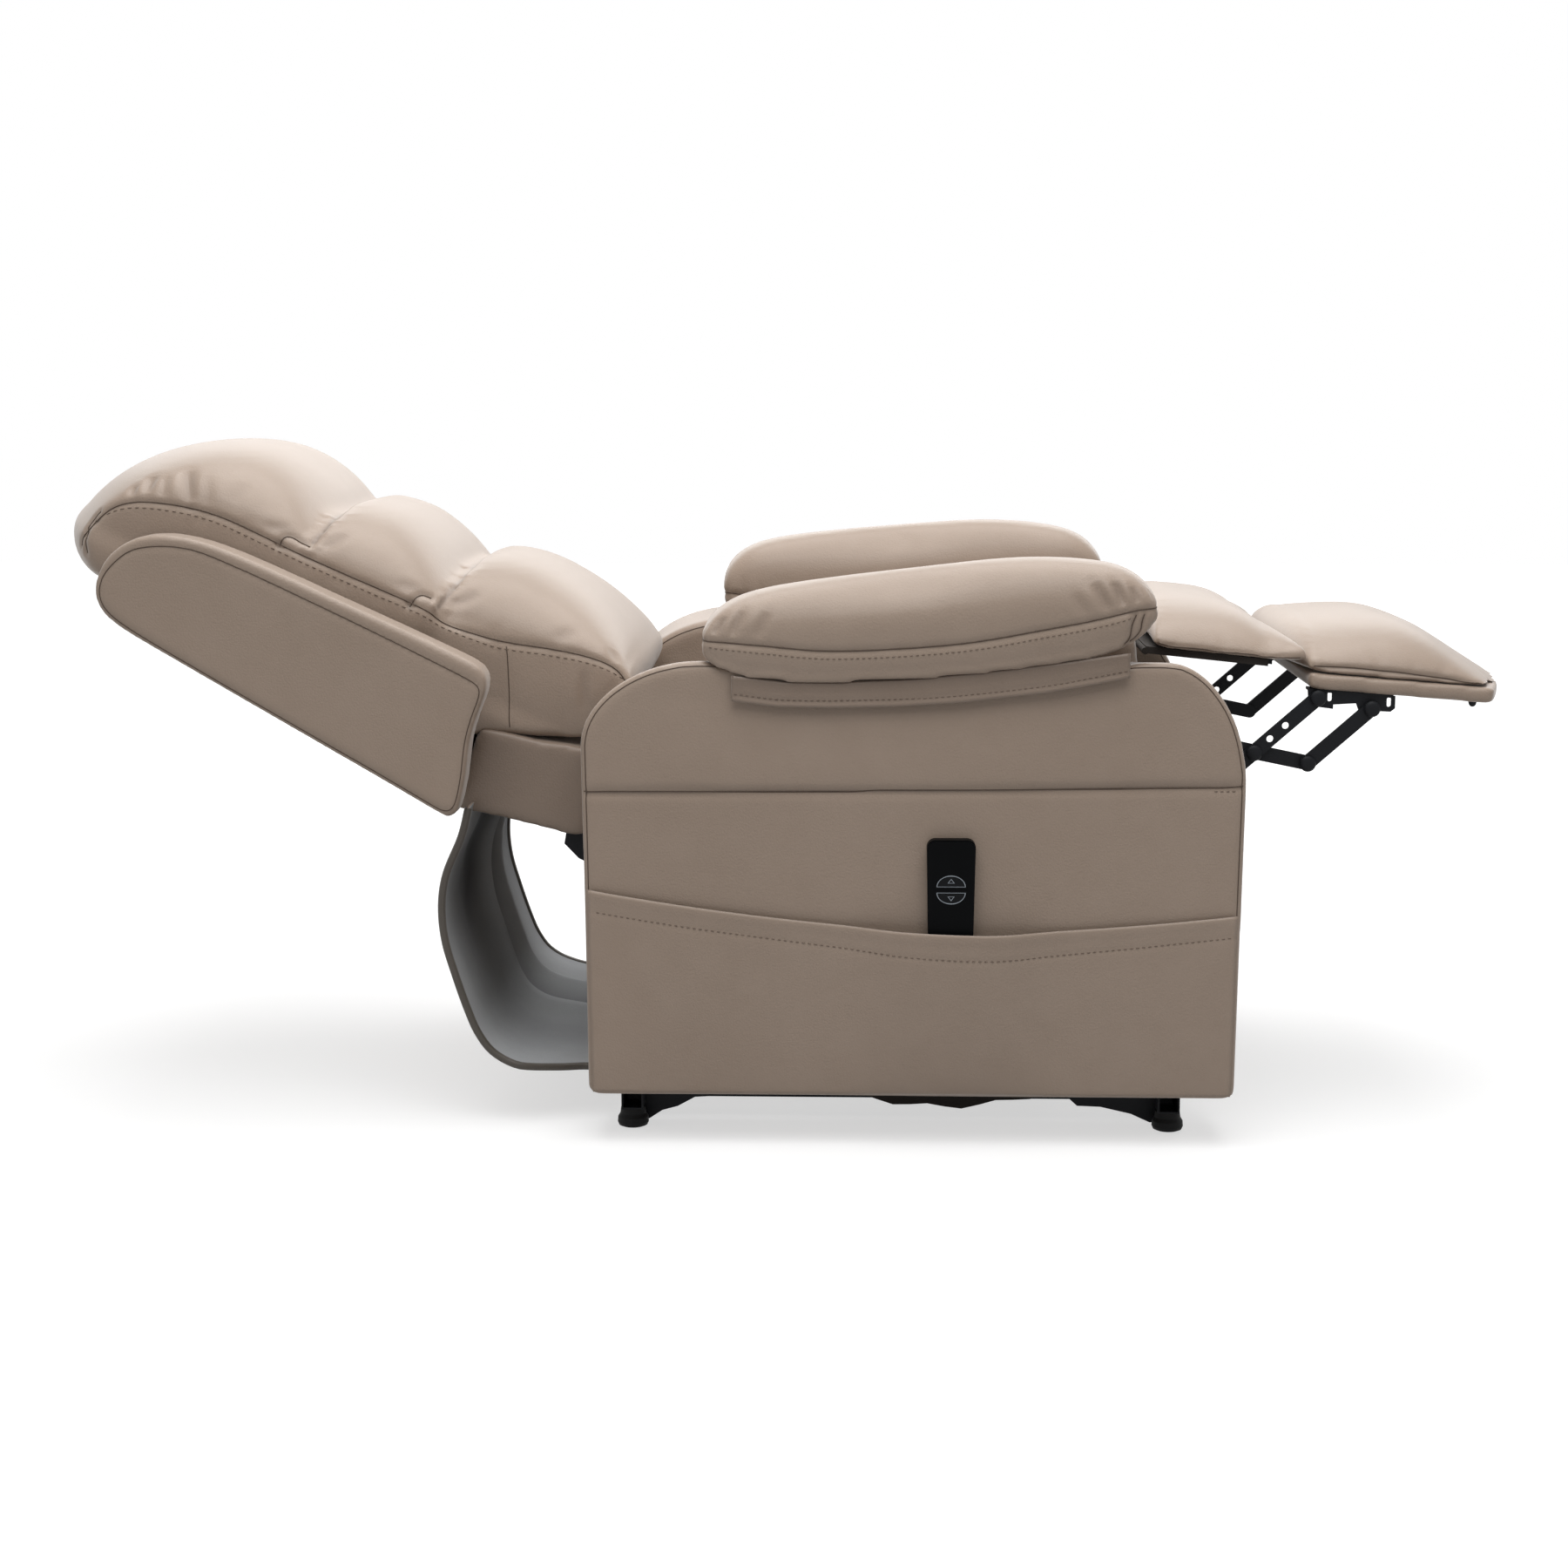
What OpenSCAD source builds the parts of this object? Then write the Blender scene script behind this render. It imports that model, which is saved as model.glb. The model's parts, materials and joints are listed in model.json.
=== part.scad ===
// Lift recliner chair, lying back with its footrest out. Millimetres, +X is the
// front, +Z is up, Y = 0 is the middle of the width. The origin is on the floor
// under the middle of the overall length. "Right" is the -Y side, as one sits.

/* [Arms] */
// Distance from the origin to the arms' reference line
arm_line_x = 150; // [140:1:160]
// From the reference line to the front of the arm panels
arm_front = 368; // [358:1:375]
// From the reference line to the rear of the arm panels
arm_rear = 368; // [362:1:380]
// How much the panels narrow towards the floor, at each end
arm_taper = 6; // [0:1:12]
// Height of the bottom edge of the arm panels
arm_clear_z = 55; // [52:1:62]
// Height of the top edge of the arm panels
arm_top_z = 541; // [532:1:550]
// Clear width between the arm panels
arm_gap = 520; // [518:1:540]
// Thickness of an arm panel
arm_thick = 105; // [90:1:120]
// Rounding of the panel edges
arm_edge = 9; // [4:0.5:12]
// Length of the rounded rear shoulder
rear_shoulder_len = 131; // [110:1:140]
// Drop of the rounded rear shoulder
rear_shoulder_drop = 93; // [80:1:110]
// Length of the rounded front shoulder
front_shoulder_len = 88; // [70:1:100]
// Drop of the rounded front shoulder
front_shoulder_drop = 134; // [110:1:150]

/* [Arm pads] */
// Rise of the arm pad above the panel at its fullest point
arm_pad_rise = 120; // [90:1:130]
// How much fuller the left pad is towards its rear
left_pad_rise = 20; // [0:1:24]
// How much further back the left pad sits
left_pad_back = 8; // [0:1:10]
// How far a pad bulges out past the outer face of its panel
arm_pad_out = 20; // [16:1:26]
// How far a pad bulges in past the inner face of its panel
arm_pad_in = 12; // [2:1:13]
// Thickness of the leather flap under each pad
flap_thick = 3; // [2:0.5:4]
// Height that the flap shows below the panel's top edge
flap_drop = 45; // [38:1:60]

/* [Pocket and handset] */
// Lowest point of the pocket's top hem
pocket_hem_z = 246; // [235:1:260]
// Rise of the hem towards the rear end of the panel
hem_rise_rear = 46; // [30:1:55]
// Rise of the hem towards the front end of the panel
hem_rise_front = 20; // [10:1:30]
// Thickness of the pocket leather
pocket_thick = 2.4; // [1.6:0.1:3]
// Depth of the empty pocket at its hem
pocket_depth = 7; // [5.5:0.5:10]
// Position of the handset along the arm
handset_x = 43; // [20:1:80]
// Width of the handset
handset_w = 54; // [48:1:58]
// Height of the handset
handset_h = 165; // [150:1:180]
// Thickness of the handset
handset_t = 18; // [15:1:20]
// Height of the handset's lower end above the floor
handset_z = 186; // [180:1:196]
// Radius of the half-round buttons
button_r = 17; // [13:0.5:19]
// Travel of each button
button_travel = 1; // [0.5:0.1:1.5]

/* [Base] */
// Width of the square steel tube
tube = 25; // [20:1:26]
// Rear tube of the base, behind the reference line
base_rear = 318; // [312:1:324]
// Front tube of the base, ahead of the reference line
base_front = 296; // [292:1:304]
// Distance of each foot from the middle
foot_y = 288; // [280:1:300]
// Height of a rubber foot
foot_h = 22; // [18:1:24]
// Radius of a rubber foot
foot_r = 18; // [14:1:20]
// Wall of the steel tubes
tube_wall = 2; // [1.5:0.5:3]

/* [Lift] */
// Lift arm's lower pivot, ahead of the reference line
lift_arm_x = 190; // [187:1:193]
// Lift arm's lower pivot, above the floor
lift_arm_z = 72; // [71:1:75]
// Thickness of the lift arms and links
lift_bar = 5; // [4:0.5:6]
// Radius of the lift pivots' pins
lift_pin = 6; // [5:0.5:7]
// Radius of the torque tube between the arms
torque_r = 20; // [18:0.5:22]
// Length of the crank that the actuator pushes
crank_len = 90; // [84:1:96]

/* [Back] */
// Slope of the back above level, in degrees
back_slope = 24; // [22:0.5:26]
// Back pivot, behind the reference line
pivot_x = 315.5; // [312:0.5:318]
// Back pivot, above the floor
pivot_z = 286; // [284:0.5:289]
// Slope of the back's rear face against its pillows, in degrees
frame_tilt = 5.8; // [4:0.1:6.2]
// Length of the back's inner frame
frame_len = 446; // [430:1:450]
// Half the width of the two upper pillows
pillow_half = 275; // [268:1:277]
// Half the width of the lumbar pillow
lumbar_half = 252; // [244:1:254]
// Thickness of a wing panel
wing_thick = 50; // [40:1:60]
// Fullness of the pillows, 1 being as drawn
pillow_crown = 1; // [0.9:0.01:1.04]
// Thickness of the padded rear cover
cover_thick = 10; // [8:0.5:11]

/* [Seat] */
// Half the width of the seat cushion
seat_half = 243; // [230:1:246]
// Thickness of the seat rails
rail_thick = 22; // [18:1:25]
// Height of the seat rails
rail_h = 90; // [70:1:100]
// Number of zigzag seat springs
spring_count = 5; // [3:1:6]
// Thickness of the spring wire
spring_wire = 3.8; // [3:0.1:4.5]

/* [Footrest] */
// Half the width of the footrest and calf pads
foot_half = 250; // [244:1:254]
// Depth of the footrest board at its sides
foot_len = 212; // [200:1:220]
// How far the front of the footrest bows out in the middle
foot_bow = 40; // [30:1:50]
// Thickness of the footrest board
foot_board = 18; // [14:1:18]
// Rise of the footrest pad over its board
foot_rise = 61; // [50:1:66]
// Rise of the calf pad over its board
calf_rise = 57; // [45:1:62]
// Width of the linkage bars
bar_w = 17; // [15:0.5:19]
// Thickness of the linkage bars
bar_t = 4; // [3:0.5:4.5]
// Radius of the linkage rivets
rivet_r = 5; // [4:0.5:6]

/* [Hidden] */
$fn = 48;

// Clearances: running fit of a pin, a seat between pieces, the gap of soft pieces
fit = 0.05;
seat_gap = 0.3;
soft_gap = 0.4;
// The lift link's upper pivot is the open one of its loop
open_fit = 1.4;

// Leather and steel colours
leather = [0.66, 0.58, 0.51];
leather_dark = [0.47, 0.40, 0.35];
steel = [0.10, 0.10, 0.11];
cloth_grey = [0.55, 0.56, 0.58];
wood = [0.72, 0.58, 0.40];
black = [0.05, 0.05, 0.06];
motor_grey = [0.25, 0.26, 0.28];

// Widths from the middle outwards
arm_in = arm_gap / 2;
arm_out = arm_in + arm_thick;
plate_t = 4;
plate_y = 226;
inner_y = 238;
outer_y = inner_y + bar_t + seat_gap;
lift_y = 205;
bracket_y = lift_y + lift_bar + 2;
link_y = bracket_y + lift_bar + 2;
bracket_back_y = 233;

// Lift linkage pivots, [x, z]
lift_a = [lift_arm_x, lift_arm_z];
lift_b = [-110, 245];
link_a = [lift_arm_x + 40, lift_arm_z - 5.8];
link_b = [40, 200];
crank_angle = 109;
crank_pin = lift_a + crank_len * [cos(crank_angle), sin(crank_angle)];
motor_pivot = [-265, 66];
stroke_line = crank_pin - motor_pivot;
stroke_slope = atan2(stroke_line[1], stroke_line[0]);
rod_reach = norm(stroke_line);

// Footrest linkage pivots, [x, z]
pivot_g1 = [217, 467];
pivot_c = [390, 431];
pivot_v = [451, 419];
pivot_r = [461, 494];
along_long = (pivot_r - pivot_c) / norm(pivot_r - pivot_c);
pivot_e = pivot_c - 60 * along_long;
pivot_g2 = pivot_g1 + pivot_e - pivot_c;
pivot_f = pivot_r + pivot_v - pivot_c;

// Footrest board: rear top edge and slope
board_at = pivot_r + [-14, 29];
board_slope = 4.6;
calf_at = [269, 543];
calf_slope = 5.9;
calf_board_t = 8;
calf_reach = board_at[0] - 1;
join_bow = 30;

// Back frame, in back coordinates: u runs up the back, v towards the sitter
frame_bottom_u = 224;
frame_low_v = cover_thick + seat_gap;
frame_high_v = 50;
frame_top_u = frame_bottom_u + frame_len * cos(frame_tilt);
stile_in = 200;
band_half = 248;

// Seat, [x, z] in the plane of its base
seat_bottom_front = [262, 498];
seat_bottom_rear = [-146, 396];
seat_slope = atan2(seat_bottom_front[1] - seat_bottom_rear[1],
    seat_bottom_front[0] - seat_bottom_rear[0]);

// ---- helpers ----

function mix(a, b, t) = a + (b - a) * t;

// A smooth curve through the points p, t from 0 to 1
function curve(p, t) =
    let (
        n = len(p) - 1,
        s = min(t * n, n - 0.00001),
        i = floor(s),
        f = s - i,
        a = p[max(i - 1, 0)],
        b = p[i],
        c = p[i + 1],
        d = p[min(i + 2, n)]
    )
    (2 * b + (c - a) * f + (2 * a - 5 * b + 4 * c - d) * f * f
        + (3 * b - a - 3 * c + d) * f * f * f) / 2;

// Height of the smooth line through the points p at x
function at(p, x) =
    let (
        i = max([for (k = [0:len(p) - 2]) if (x >= p[k][0] || k == 0) k]),
        n = len(p) - 1
    )
    curve(p, (i + min(max((x - p[i][0]) / (p[i + 1][0] - p[i][0]), 0), 1)) / n)[1];

function middle(p) = [for (k = [0:len(p[0]) - 1]) let (s = [for (q = p) q[k]]) s * [for (q = p) 1] / len(p)];

// Quarter of a soft ellipse from [cx, cz + rz] round to [cx + rx, cz]
function shoulder(cx, cz, rx, rz, n) =
    [for (i = [0:n]) let (a = 90 - 90 * i / n) [cx + rx * pow(cos(a), 1.06), cz + rz * pow(sin(a), 1.06)]];

// Corners [x, y, r] turned into an outline with rounded corners
function rounded(c, n = 5) = [
    for (i = [0:len(c) - 1])
        let (
            p = [c[i][0], c[i][1]],
            a = c[(i + len(c) - 1) % len(c)],
            b = c[(i + 1) % len(c)],
            ua = ([a[0], a[1]] - p) / norm([a[0], a[1]] - p),
            ub = ([b[0], b[1]] - p) / norm([b[0], b[1]] - p),
            half = acos(ua * ub) / 2,
            m = (ua + ub) / norm(ua + ub),
            o = p + m * c[i][2] / sin(half),
            s = p + ua * c[i][2] / tan(half) - o,
            e = p + ub * c[i][2] / tan(half) - o
        )
        for (k = [0:n])
            let (d = mix(s, e, k / n)) o + d / norm(d) * c[i][2]
];

// An outline drawn in by d towards its middle
function inset(p, d) = let (m = middle(p)) [for (q = p) m + (q - m) * (1 - d / norm(q - m))];

module chair() {
    translate([arm_line_x, 0, 0]) children();
}

// Lays a drawing in the X-Z plane on its side, from y to y + t
module slab(y, t) {
    translate([0, y + t, 0]) rotate([90, 0, 0]) linear_extrude(t) children();
}

// The same on both sides of the chair
module both_sides() {
    children();
    mirror([0, 1, 0]) children();
}

// A rod across the chair at the point p
module pin(p, r, y0, y1) {
    translate([p[0], y1, p[1]]) rotate([90, 0, 0]) cylinder(r = r, h = y1 - y0);
}

// Flat bar with round ends between two points
module bar(a, b, w) {
    d = b - a;
    translate(a) rotate(atan2(d[1], d[0])) translate([0, -w / 2]) square([norm(d), w]);
    translate(a) circle(d = w);
    translate(b) circle(d = w);
}

// Triangles over a stack of rings with flat ends
module skin(rings) {
    n = len(rings[0]);
    m = len(rings);
    points = concat([for (r = rings) each r], [middle(rings[0])], [middle(rings[m - 1])]);
    sides = [for (j = [0:m - 2]) for (i = [0:n - 1])
        let (a = j * n + i, b = j * n + (i + 1) % n)
        each [[a, b, b + n], [a, b + n, a + n]]];
    ends = [for (i = [0:n - 1])
        each [[m * n, (i + 1) % n, i], [m * n + 1, (m - 1) * n + i, (m - 1) * n + (i + 1) % n]]];
    polyhedron(points, concat(sides, ends), convexity = 6);
}

// Thin sheet between a grid of front points and one of back points
module sheet(front, back) {
    m = len(front);
    n = len(front[0]);
    far = m * n;
    points = concat([for (r = front) each r], [for (r = back) each r]);
    faces = [for (j = [0:m - 2]) for (i = [0:n - 2])
        let (a = j * n + i, b = a + 1, c = a + n, d = a + n + 1)
        each [[a, b, d], [a, d, c], [far + a, far + d, far + b], [far + a, far + c, far + d]]];
    ends = [for (i = [0:n - 2]) let (a = i, b = (m - 1) * n + i)
        each [[a, far + a, far + a + 1], [a, far + a + 1, a + 1],
            [b, far + b + 1, far + b], [b, b + 1, far + b + 1]]];
    edges = [for (j = [0:m - 2]) let (a = j * n, b = j * n + n - 1)
        each [[a, a + n, far + a + n], [a, far + a + n, far + a],
            [b, far + b + n, b + n], [b, far + b, far + b + n]]];
    polyhedron(points, concat(faces, ends, edges), convexity = 8);
}

// A padded panel: an outline in X-Z between two Y values with rounded edges
module padded_panel(outline, y0, y1, edge) {
    layers = [
        [edge, y0], [edge * 0.3, y0 + edge * 0.3], [0, y0 + edge],
        [0, y1 - edge], [edge * 0.3, y1 - edge * 0.3], [edge, y1]
    ];
    skin([for (l = layers) [for (q = inset(outline, l[0])) [q[0], l[1], q[1]]]]);
}

// ---- base ----

module square_tube_x(x0, x1, y, z) {
    translate([x0, y, z]) difference() {
        cube([x1 - x0, tube, tube]);
        translate([-1, tube_wall, tube_wall])
            cube([x1 - x0 + 2, tube - 2 * tube_wall, tube - 2 * tube_wall]);
    }
}

module square_tube_y(x, half, z) {
    translate([x - tube / 2, -half, z]) difference() {
        cube([tube, 2 * half, tube]);
        translate([tube_wall, -1, tube_wall])
            cube([tube - 2 * tube_wall, 2 * half + 2, tube - 2 * tube_wall]);
    }
}

base_rail_y = bracket_y + lift_bar - 1;
base_top = foot_h + tube;

// Side rail with the plate that carries both lift pivots
module base_rail() {
    square_tube_x(-base_rear + tube / 2, base_front - tube / 2, base_rail_y, foot_h);
    slab(bracket_y, lift_bar) union() {
        translate([lift_a[0] - 24, foot_h]) square([88, lift_arm_z - foot_h - 3]);
        translate(lift_a) circle(r = 15);
        translate(link_a) circle(r = 15);
    }
    pin(lift_a, lift_pin, lift_y - 1, bracket_y);
    pin(lift_a, lift_pin + 4, lift_y - 4, lift_y - seat_gap);
    pin(lift_a, lift_pin + 4, lift_y + lift_bar + seat_gap, bracket_y);
    pin(link_a, lift_pin, bracket_y + lift_bar - 1, link_y + lift_bar + 1);
    pin(link_a, lift_pin + 3, bracket_y + lift_bar, link_y - seat_gap);
    pin(link_a, lift_pin + 4, link_y + lift_bar + seat_gap, link_y + lift_bar + 3);
}

module base_right_rail() {
    color(steel) chair() mirror([0, 1, 0]) base_rail();
}

module base_left_rail() {
    color(steel) chair() base_rail();
}

tube_reach = foot_y + 14;

// Thin fin inside each foot: [distance from the foot, height] along its lower edge
fin_y = foot_y - foot_r - 6;
front_fin = [[18, 2], [40, 12], [75, 20], [102, 21], [114, 32], [124, base_top - 2]];
rear_fin = [[17, 2], [32, 12], [50, 17], [70, 28], [118, 31], [120, base_top - 2]];

module foot_fin(x, dir, lower) {
    points = concat([[-8, base_top - 2], [-8, 4]], lower);
    slab(fin_y, 3) translate([x, 0]) scale([dir, 1]) polygon(points);
}

module base_front_tube() {
    color(steel) chair() {
        square_tube_y(base_front, tube_reach, foot_h);
        both_sides() foot_fin(base_front, -1, front_fin);
    }
}

module base_rear_tube() {
    color(steel) chair() {
        square_tube_y(-base_rear, tube_reach, foot_h);
        both_sides() foot_fin(-base_rear, 1, rear_fin);
        both_sides() slab(13, 5) difference() {
            union() {
                translate([-base_rear + tube / 2, foot_h + 2])
                    square([motor_pivot[0] + base_rear - tube / 2, 52]);
                translate(motor_pivot) circle(r = 12);
            }
            translate(motor_pivot) circle(r = lift_pin + fit);
        }
    }
}

module feet() {
    color(black) chair() both_sides() for (x = [-base_rear, base_front])
        translate([x, foot_y, 0]) rotate_extrude() polygon([
            [0, 0], [foot_r - 5, 0], [foot_r - 1.5, 1.5], [foot_r, 5],
            [foot_r - 0.5, 11], [foot_r - 3, 15], [foot_r - 4, foot_h], [0, foot_h]
        ]);
}

// ---- lift ----

module lift_arm() {
    slab(lift_y, lift_bar) difference() {
        union() {
            bar(lift_a, lift_b, 30);
            translate(lift_a) circle(r = torque_r + 3);
            translate(lift_b) circle(r = 18);
        }
        translate(lift_a) circle(r = lift_pin + fit);
        translate(lift_b) circle(r = lift_pin + fit);
    }
}

module right_lift_arm() {
    color(steel) chair() mirror([0, 1, 0]) lift_arm();
}

module left_lift_arm() {
    color(steel) chair() lift_arm();
}

// Tube between the arms with the crank that the actuator pushes
module lift_torque_tube() {
    color(steel) chair() {
        difference() {
            union() {
                pin(lift_a, torque_r, -lift_y, lift_y);
                both_sides() slab(14, 5) bar(lift_a, crank_pin, 30);
            }
            pin(lift_a, torque_r - 3, -lift_y - 1, lift_y + 1);
            pin(crank_pin, lift_pin + fit, -30, 30);
        }
    }
}

module lift_link() {
    slab(link_y, lift_bar) difference() {
        bar(link_a, link_b, 22);
        translate(link_a) circle(r = lift_pin + fit);
        translate(link_b) circle(r = lift_pin + open_fit);
    }
}

module right_lift_link() {
    color(steel) chair() mirror([0, 1, 0]) lift_link();
}

module left_lift_link() {
    color(steel) chair() lift_link();
}

// Actuator parts lie along +X here, from the motor's pivot
module on_actuator() {
    translate([motor_pivot[0], 0, motor_pivot[1]]) rotate([0, -stroke_slope, 0]) children();
}

actuator_r = 19;
actuator_bore = 15;
rod_r = 10.5;
gearbox_end = 100;
tube_mouth = rod_reach - 38;

module motor_housing() {
    color(motor_grey) chair() on_actuator() {
        translate([0, 12.5, 0]) rotate([90, 0, 0]) cylinder(r = 13, h = 25);
        pin([0, 0], lift_pin, -19, 19);
        translate([4, -12.5, -9]) cube([30, 25, 18]);
        translate([20, -30, -30]) cube([gearbox_end - 20, 64, 60]);
        translate([60, 160, 0]) rotate([90, 0, 0]) cylinder(r = 28, h = 126);
        translate([60, 166, 0]) rotate([90, 0, 0]) cylinder(r = 20, h = 6);
    }
}

module actuator_tube() {
    color(black) chair() on_actuator() rotate([0, 90, 0]) difference() {
        translate([0, 0, gearbox_end]) cylinder(r = actuator_r, h = tube_mouth - gearbox_end);
        translate([0, 0, gearbox_end + 60]) cylinder(r = actuator_bore, h = rod_reach);
    }
}

module actuator_rod() {
    color([0.75, 0.76, 0.78]) chair() on_actuator() {
        translate([tube_mouth - 110, 0, 0]) rotate([0, 90, 0]) cylinder(r = rod_r, h = 136);
        translate([rod_reach, 13, 0]) rotate([90, 0, 0]) cylinder(r = 13, h = 26);
        translate([rod_reach, 19, 0]) rotate([90, 0, 0]) cylinder(r = lift_pin, h = 38);
    }
}

// ---- seat frame ----

// Side plate: a rail with ears for the lift, the back and the footrest links
module side_plate() {
    slab(plate_y, plate_t) difference() {
        union() {
            polygon([
                [-pivot_x, pivot_z - 16], [lift_b[0] - 20, 228], [lift_b[0] + 20, 228],
                [link_b[0] - 40, 238], [link_b[0] - 18, link_b[1]], [link_b[0] + 18, link_b[1]],
                [link_b[0] + 40, 238], [180, 258], [204, 290], [204, 446], [pivot_g1[0] + 15, pivot_g1[1]],
                [pivot_g1[0] - 15, pivot_g1[1] + 2], [pivot_g2[0] - 16, pivot_g2[1]],
                [160, 330], [130, 300], [-90, 300], [-104, 390], [-150, 382], [-172, 300],
                [-200, 300], [-pivot_x, pivot_z + 15]
            ]);
            translate([-pivot_x, pivot_z]) circle(r = 16);
            translate(lift_b) circle(r = 20);
            translate(link_b) circle(r = 18);
            translate(pivot_g1) circle(r = 15);
            translate(pivot_g2) circle(r = 16);
        }
        for (x = [-240, -160, -20, 100]) translate([x, 276]) circle(r = 5);
    }
    plate_top = plate_y + plate_t;
    pin([-pivot_x, pivot_z], 7, plate_top, bracket_back_y + plate_t);
    pin([-pivot_x, pivot_z], 11, plate_top, bracket_back_y - seat_gap);
    pin([-pivot_x, pivot_z], 11, bracket_back_y + plate_t + seat_gap, bracket_back_y + plate_t + 3);
    pin([-pivot_x, pivot_z], 7, bracket_back_y + plate_t, bracket_back_y + plate_t + 1);
    for (g = [pivot_g1, pivot_g2]) {
        pin(g, rivet_r, plate_top, inner_y + bar_t + 1);
        pin(g, 9, plate_top, inner_y - seat_gap);
        pin(g, 9, inner_y + bar_t + seat_gap, inner_y + bar_t + 3);
    }
    pin(lift_b, lift_pin, lift_y - 1, plate_y);
    pin(lift_b, lift_pin + 4, lift_y - 4, lift_y - seat_gap);
    pin(lift_b, lift_pin + 5, lift_y + lift_bar + seat_gap, plate_y);
    pin(link_b, lift_pin, link_y - 1, plate_y);
    pin(link_b, lift_pin + 4, link_y - 4, link_y - seat_gap);
    pin(link_b, lift_pin + 4, link_y + lift_bar + seat_gap, plate_y);
    // ears that carry the arm panel
    for (x = [-150, 60]) translate([x, plate_top, 262]) cube([40, arm_in - plate_top, 4]);
}

module right_side_plate() {
    color(steel) chair() mirror([0, 1, 0]) side_plate();
}

module left_side_plate() {
    color(steel) chair() side_plate();
}

frame_tube_z = 271;
frame_front_x = 150;
frame_rear_x = -262;

module frame_front_tube() {
    color(steel) chair() square_tube_y(frame_front_x, plate_y, frame_tube_z);
}

module frame_rear_tube() {
    color(steel) chair() square_tube_y(frame_rear_x, plate_y, frame_tube_z);
}

skirt_rail_x = -352;
skirt_rail_z = 66;

// Low slat between the arms, to which the cloth at the rear is fixed
module skirt_rail() {
    color(wood) chair() translate([skirt_rail_x, -arm_in, skirt_rail_z]) cube([18, 2 * arm_in, 30]);
}

module on_seat() {
    translate([seat_bottom_rear[0], 0, seat_bottom_rear[1]]) rotate([0, -seat_slope, 0]) children();
}

rail_half = plate_y - seat_gap;
front_rail_x = 206;

front_rail_top = seat_bottom_rear[1] - seat_gap
    + (front_rail_x - seat_bottom_rear[0]) * tan(seat_slope);

module seat_front_rail() {
    color(wood) chair() translate([front_rail_x, -rail_half, front_rail_top - rail_h])
        cube([rail_thick, 2 * rail_half, rail_h]);
}

rear_rail_s = 4;

module seat_rear_rail() {
    color(wood) chair() on_seat() translate([rear_rail_s, -rail_half, -rail_h])
        cube([rail_thick, 2 * rail_half, rail_h - seat_gap]);
}

spring_pitch = 26;
spring_amp = 22;
spring_from = rear_rail_s + rail_thick + seat_gap + spring_wire / 2;
spring_len = (front_rail_x - seat_bottom_rear[0]) / cos(seat_slope) - spring_from
    - spring_wire / 2 - 2;

// One flat zigzag spring, from the rear rail to the front rail
module zigzag(length) {
    n = floor(length / spring_pitch);
    step = length / n;
    r = step / 2;
    linear_extrude(spring_wire) for (i = [0:n - 1]) {
        side = i % 2 == 0 ? 1 : -1;
        translate([i * step + r, side * spring_amp]) intersection() {
            difference() {
                circle(r = r + spring_wire / 2);
                circle(r = r - spring_wire / 2);
            }
            translate([-2 * r, side > 0 ? 0 : -2 * r]) square([4 * r, 2 * r]);
        }
        if (i < n - 1) translate([(i + 1) * step - spring_wire / 2, -spring_amp])
            square([spring_wire, 2 * spring_amp]);
        else translate([n * step - spring_wire / 2, side > 0 ? 0 : -spring_amp])
            square([spring_wire, spring_amp]);
        if (i == 0) translate([-spring_wire / 2, 0]) square([spring_wire, spring_amp]);
    }
}

module seat_springs() {
    color([0.6, 0.6, 0.62]) chair() on_seat() for (i = [0:spring_count - 1]) {
        y = (i - (spring_count - 1) / 2) * 370 / (spring_count - 1);
        translate([spring_from, y, -seat_gap - spring_wire]) zigzag(spring_len);
    }
}

// ---- cushions ----

// A cushion lofted across the chair: crown line, seam line and base line, each in
// [along, up], at half width w. A low fold rounds the sides more, draw pulls the
// base in, and bow draws the corners of the far end in.
module cushion(crown, seam, base, w, fold, draw = 6, nt = 14, ns = 11, bow = 0) {
    rings = [for (j = [0:nt])
        let (
            t = -cos(180 * j / nt),
            full = pow(1 - pow(abs(t), fold), 0.5),
            y = w * t,
            b = draw * sign(t) * pow(abs(t), 6),
            c = [for (q = crown) [q[0] + bow * t * t * (q[0] - crown[len(crown) - 1][0])
                / (crown[0][0] - crown[len(crown) - 1][0]), q[1]]]
        )
        concat(
            [for (i = [0:ns]) let (q = mix(curve(seam, i / ns), curve(c, i / ns), full)) [q[0], y, q[1]]],
            [for (q = base) [q[0], y - b, q[1]]]
        )];
    skin([for (j = [nt:-1:0]) rings[j]]);
}

// Seat cushion: its rear face keeps clear of the lumbar pillow when upright
seat_crown = [
    [-100, 468], [-78, 500], [-10, 532], [90, 566], [170, 590], [222, 600], [252, 590], [261, 560]
];
seat_seam = [
    [-104, 452], [-84, 470], [-10, 500], [90, 532], [170, 555], [222, 566], [252, 566], [261, 550]
];
seat_base = [
    [262, 530], seat_bottom_front + [-1, seat_gap], [60, 447.8], seat_bottom_rear + [4, 1.4], [-124, 420]
];

module seat_cushion() {
    color(leather) chair() cushion(seat_crown, seat_seam, seat_base, seat_half, 4, 4);
}

// Cloth from the seat's rear rail down to the back pivots
module seat_apron() {
    top = seat_bottom_rear + [-1, -20];
    low = [-pivot_x + 25.5, pivot_z + 18];
    color(leather_dark) chair() slab(-rail_half, 2 * rail_half) difference() {
        bar(top, low, 3);
        translate(low + [-4, -12]) square([8, 9]);
    }
}

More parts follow.
